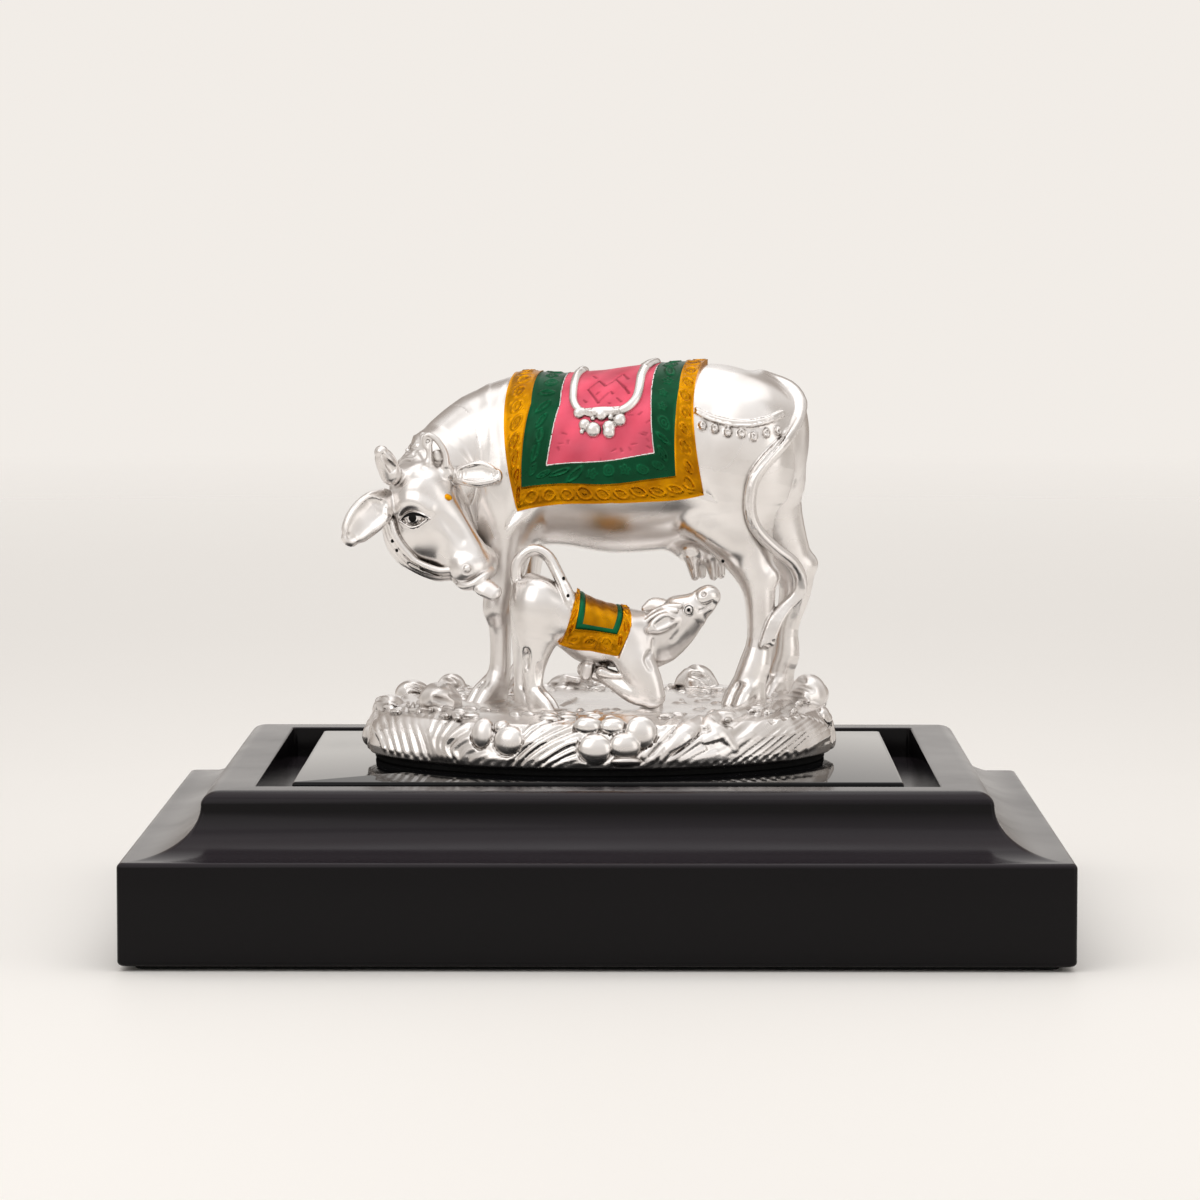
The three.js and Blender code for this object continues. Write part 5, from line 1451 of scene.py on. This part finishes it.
ROPES = ([(581.5, 371.5), (577, 376), (574.4, 383.7), (573.3, 393.5), (573.3, 400.5), (576.1, 407), (581, 411.4),
    (589.5, 412.5)], [(589.5, 412.5), (601, 411.4), (609, 411.4), (616, 411.2), (623.2, 410), (630.2, 405.4),
    (635.8, 399), (638.6, 391.5), (640, 383.7), (641.4, 375.6), (644.6, 369)])
BALLS = [(578.9, 413.5, 6), (601.4, 415.3, 6), (619.6, 420.2, 7), (584.6, 425.1, 6.3), (593.3, 430, 8),
    (609.1, 427.4, 7), (609.1, 432.6, 6.6), (581.8, 431.8, 2.5), (592.6, 418.6, 2.6), (610.6, 417.6, 3)]


def garland():
    """The silver rope over the field, with its balls, and the bare metal line round the field."""
    f = Field()
    skin = Field().add(cow_trunk)
    far = lambda points: mirrored(points, COW_MIDLINE)
    for rope, size, end, along in zip(ROPES, (1.1, 1.25), (0, -1), (0.358, 0.73)):
        near = seen(skin, rope, 1.15)
        for q in (near, far(near)):
            f.add(path(q, size), 0.25)
        hem, spine = near[end], cow_cloth.point(along, 0.0, 1.0)
        half = hem * 0.5 + spine * 0.5 + (0, 0, 0.25)
        f.add(path([hem, half, spine, far(half)[0], far(hem)[0]], size), 0.25)
    for (_, _, pixels), q in zip(BALLS, seen(skin, BALLS, 1.2)):
        size = pixels * 0.256
        for spot in (q, far(q)[0]):
            f.add(Lump(spot, (size, size * 0.8, size)), 0.22)
    for x in (586, 588.4, 590.8, 614.4, 616.6, 618.8):
        ring = seen(skin, [(x, 407), (x, 412), (x, 416)], 2.0)
        for q in (ring, far(ring)):
            f.raised(q, -0.3, 0.3)
    line = loop_points(GREEN_IN, (40, 40, 40))
    line = line[(line[:, 1] < -0.1) & ((line[:, 0] > 0.21) | (line[:, 1] < -0.78))]
    for side in (1, -1):
        f.add(path(cow_cloth.point(line[:, 0], side * line[:, 1], 1.0), 0.2), 0.1)
    return f


# ---- pieces of the casting ----
body_field, head_field, calf_field = cow_body(), cow_head(), calf()
carve("cow_body", body_field, (-56, -22, 11), (62, 26, 104), 0.5, SILVER)
carve("cow_head", head_field, (-68, -32, 38), (-22, 16, 92), 0.3, SILVER)
carve("calf", calf_field, (-26, -32, 11), (34, -11, 60), 0.33, SILVER)
carve("ground", ground(), (-64, -56, 0), (64, 56, 24), 0.52, SILVER)
carve("garland", garland(), (-30, -22, 70), (30, 30, 106), 0.3, SILVER)


def span(field):
    """The corners of a box round the forms of a field."""
    forms = [s[1] for s in field.steps if s[0] != "change"]
    return np.min([f.low for f in forms], axis=0) - 0.3, np.max([f.high for f in forms], axis=0) + 0.3


def painted(name, skin, spots, other, cell):
    """A thin coat on a form: rows of (pixels, radius) seen in the photograph, and the same on its far half."""
    f = Field()
    for pixels, radius in spots:
        places = seen(skin, pixels)
        for q in (places, other(places)):
            if len(q) == 1:
                f.add(ball(q[0], radius), 0.05)
            else:
                f.add(tapered(q, np.broadcast_to(radius, len(q)), toward=SIDEWAYS), 0.05)
    f.shaped(lambda p, d: np.maximum(d, np.abs(skin(p, 1.0) + 0.15 - PAINT_THICK / 2) - 0.15 - PAINT_THICK / 2))
    carve(name, f, *span(f), cell, BLACK)


painted("cow_eye_paint", head_field, [([PUPIL], 1.05), ([(400.6, 520.6), (403.8, 517.2), (408, 514.8), (412.7, 513.7),
    (418, 514.5), (423, 516), (427.6, 517.4)], (0.12, 0.26, 0.42, 0.46, 0.42, 0.3, 0.14)),
    ([(406.6, 519.4), (408.6, 522.8), (412.4, 524.4), (416.2, 522.8), (418, 519.4)], 0.1), ([(428.9, 518.9)], 0.13)],
    other_side, 0.09)
painted("calf_eye_paint", calf_field, [([CALF_EYE], 0.5), ([(684.4, 610.2), (686, 606.6), (689.4, 605.6),
    (692.6, 607.6), (693, 611)], 0.13), ([(693, 611), (691.4, 614), (688, 614.4), (685, 612.6), (684.4, 610.2)],
    0.09)], far_half, 0.08)
specks = Field()
for field, spots in ((head_field, [(392.3, 541), (396.9, 550.3)]), (calf_field, [(563.6, 578.5), (568, 595.7)]),
        (body_field, [(722.9, 561)])):
    for q in seen(field, spots):
        specks.add(Lump(q, (0.42, 0.42, 0.5)), 0.05)
carve("black_specks", specks, *span(specks), 0.14, BLACK)
brow = seen(head_field, (447.8, 497))[0]
mark = Field().add(Lump(brow, (1.2, 0.85, 0.5), RIGHT - AHEAD * 0.1 + (0, 0, -0.5), normal_at(head_field, brow)))
carve("cow_brow_mark", mark, brow - 1.5, brow + 1.5, 0.14, GOLD)


# ---- floor, light and camera ----
LIT = (0, 0, 70)
FLOOR_RADIUS, FLOOR_DROP = 3.0, 0.0002
def emitter(name, location, size, power, colour):
    """A soft light that faces the statue."""
    light = bpy.data.lights.new(name, "AREA")
    light.shape = "RECTANGLE"
    light.size, light.size_y = size
    light.energy = power
    light.color = colour
    lamp = bpy.data.objects.new(name, light)
    lamp.location = np.array(location) * MM
    aim = (np.array(LIT) - np.array(location)) * MM
    lamp.rotation_mode = "QUATERNION"
    lamp.rotation_quaternion = Vector(aim).to_track_quat("-Z", "Y")
    bpy.context.scene.collection.objects.link(lamp)


def floor_paint():
    """A pale floor that fades into the backdrop."""
    p = Paint("floor", 0.6)
    p.colour(p.mixed(p.noise(3, 2), (0.95, 0.93, 0.9), (0.93, 0.91, 0.88)))
    fade = p.node("ShaderNodeVectorMath", operation="LENGTH")
    p.link(p.place, fade.inputs[0])
    clear = p.node("ShaderNodeBsdfTransparent")
    mix = p.node("ShaderNodeMixShader")
    p.link(p.ranged(fade.outputs["Value"], 0.35, 2.4, 0, 1), mix.inputs["Fac"])
    p.link(p.shader.outputs["BSDF"], mix.inputs[1])
    p.link(clear.outputs["BSDF"], mix.inputs[2])
    p.link(mix.outputs["Shader"], p.tree.nodes["Material Output"].inputs["Surface"])
    return p.material


bpy.ops.mesh.primitive_circle_add(vertices=96, radius=FLOOR_RADIUS, fill_type="NGON", location=(0, 0, -FLOOR_DROP))
floor = bpy.context.object
floor.name = "floor"
floor.data.materials.append(floor_paint())

world = bpy.data.worlds.new("studio")
bpy.context.scene.world = world
world.use_nodes = True
sky = world.node_tree


def sky_node(kind, *inputs, **values):
    """A node fed by numbers or sockets in order; returns its first output."""
    n = sky.nodes.new(kind)
    for key, value in values.items():
        setattr(n, key, value)
    for socket, value in zip(n.inputs, inputs):
        if isinstance(value, (int, float)):
            socket.default_value = value
        elif value is not None:
            sky.links.new(value, socket)
    return n.outputs[0]


def sky_ramp(value, stops):
    """Colours between stops of (position, colour)."""
    n = sky.nodes.new("ShaderNodeValToRGB")
    sky.links.new(value, n.inputs["Fac"])
    for position, colour in stops:
        n.color_ramp.elements.new(position).color = (*colour, 1)
    n.color_ramp.elements.remove(n.color_ramp.elements[0])
    n.color_ramp.elements.remove(n.color_ramp.elements[-1])
    return n.outputs["Color"]


split = sky.nodes.new("ShaderNodeSeparateXYZ")
sky.links.new(sky.nodes.new("ShaderNodeTexCoord").outputs["Generated"], split.inputs["Vector"])
height = sky_node("ShaderNodeMath", split.outputs["Z"], 0.5, 0.5, operation="MULTIPLY_ADD")
turned = sky_node("ShaderNodeMath", split.outputs["X"], split.outputs["Y"], operation="ARCTAN2")
turned = sky_node("ShaderNodeMath", sky_node("ShaderNodeMath", turned, operation="ABSOLUTE"), math.pi,
    operation="DIVIDE")
WALL = (0.885, 0.845, 0.80)
by_height = sky_ramp(height, [(0.0, (0.5, 0.47, 0.44)), (0.46, (0.72, 0.69, 0.66)), (0.5, WALL), (0.53, WALL),
    (0.62, (0.8, 0.77, 0.745)), (0.8, (1.0, 0.98, 0.96)), (1.0, (1.08, 1.06, 1.04))])
by_turn = sky_ramp(turned, [(0.0, (1, 1, 1)), (0.045, (1, 1, 1)), (0.07, (0.42, 0.38, 0.35)),
    (0.2, (0.5, 0.46, 0.43)), (0.3, (0.95, 0.94, 0.93)), (0.45, (0.72, 0.7, 0.68)), (0.58, (0.66, 0.64, 0.62)),
    (0.75, (0.98, 0.98, 0.98)), (1.0, (0.86, 0.85, 0.84))])
studio = sky.nodes.new("ShaderNodeMix")
studio.data_type, studio.blend_type = "RGBA", "MULTIPLY"
studio.inputs[0].default_value = 1.0
a, b = [socket for socket in studio.inputs if socket.type == "RGBA"]
sky.links.new(by_height, a)
sky.links.new(by_turn, b)
plain = sky.nodes.new("ShaderNodeBackground")
plain.inputs["Color"].default_value = (*WALL, 1)
shown = sky.nodes.new("ShaderNodeMixShader")
sky.links.new(sky.nodes.new("ShaderNodeLightPath").outputs["Is Camera Ray"], shown.inputs["Fac"])
sky.links.new(next(o for o in studio.outputs if o.type == "RGBA"), sky.nodes["Background"].inputs["Color"])
sky.links.new(sky.nodes["Background"].outputs["Background"], shown.inputs[1])
sky.links.new(plain.outputs["Background"], shown.inputs[2])
sky.links.new(shown.outputs["Shader"], sky.nodes["World Output"].inputs["Surface"])

emitter("key", (-420, -520, 620), (0.7, 0.7), 1.25, (1, 0.985, 0.97))
emitter("top", (60, 60, 760), (0.8, 0.7), 1.25, (1, 1, 1))
emitter("fill", (620, -420, 260), (0.35, 0.5), 0.4, (1, 0.98, 0.96))

bpy.context.scene.view_settings.view_transform = "Standard"
camera = bpy.data.objects.new("camera", bpy.data.cameras.new("camera"))
camera.data.lens = LENS
camera.data.sensor_width = SENSOR
camera.data.clip_start, camera.data.clip_end = 0.05, 20
camera.location = (CAMERA + (0, 0, PLATE_TOP)) * MM
camera.rotation_euler = (math.pi / 2 - PITCH, 0, YAW)
bpy.context.scene.collection.objects.link(camera)
bpy.context.scene.camera = camera
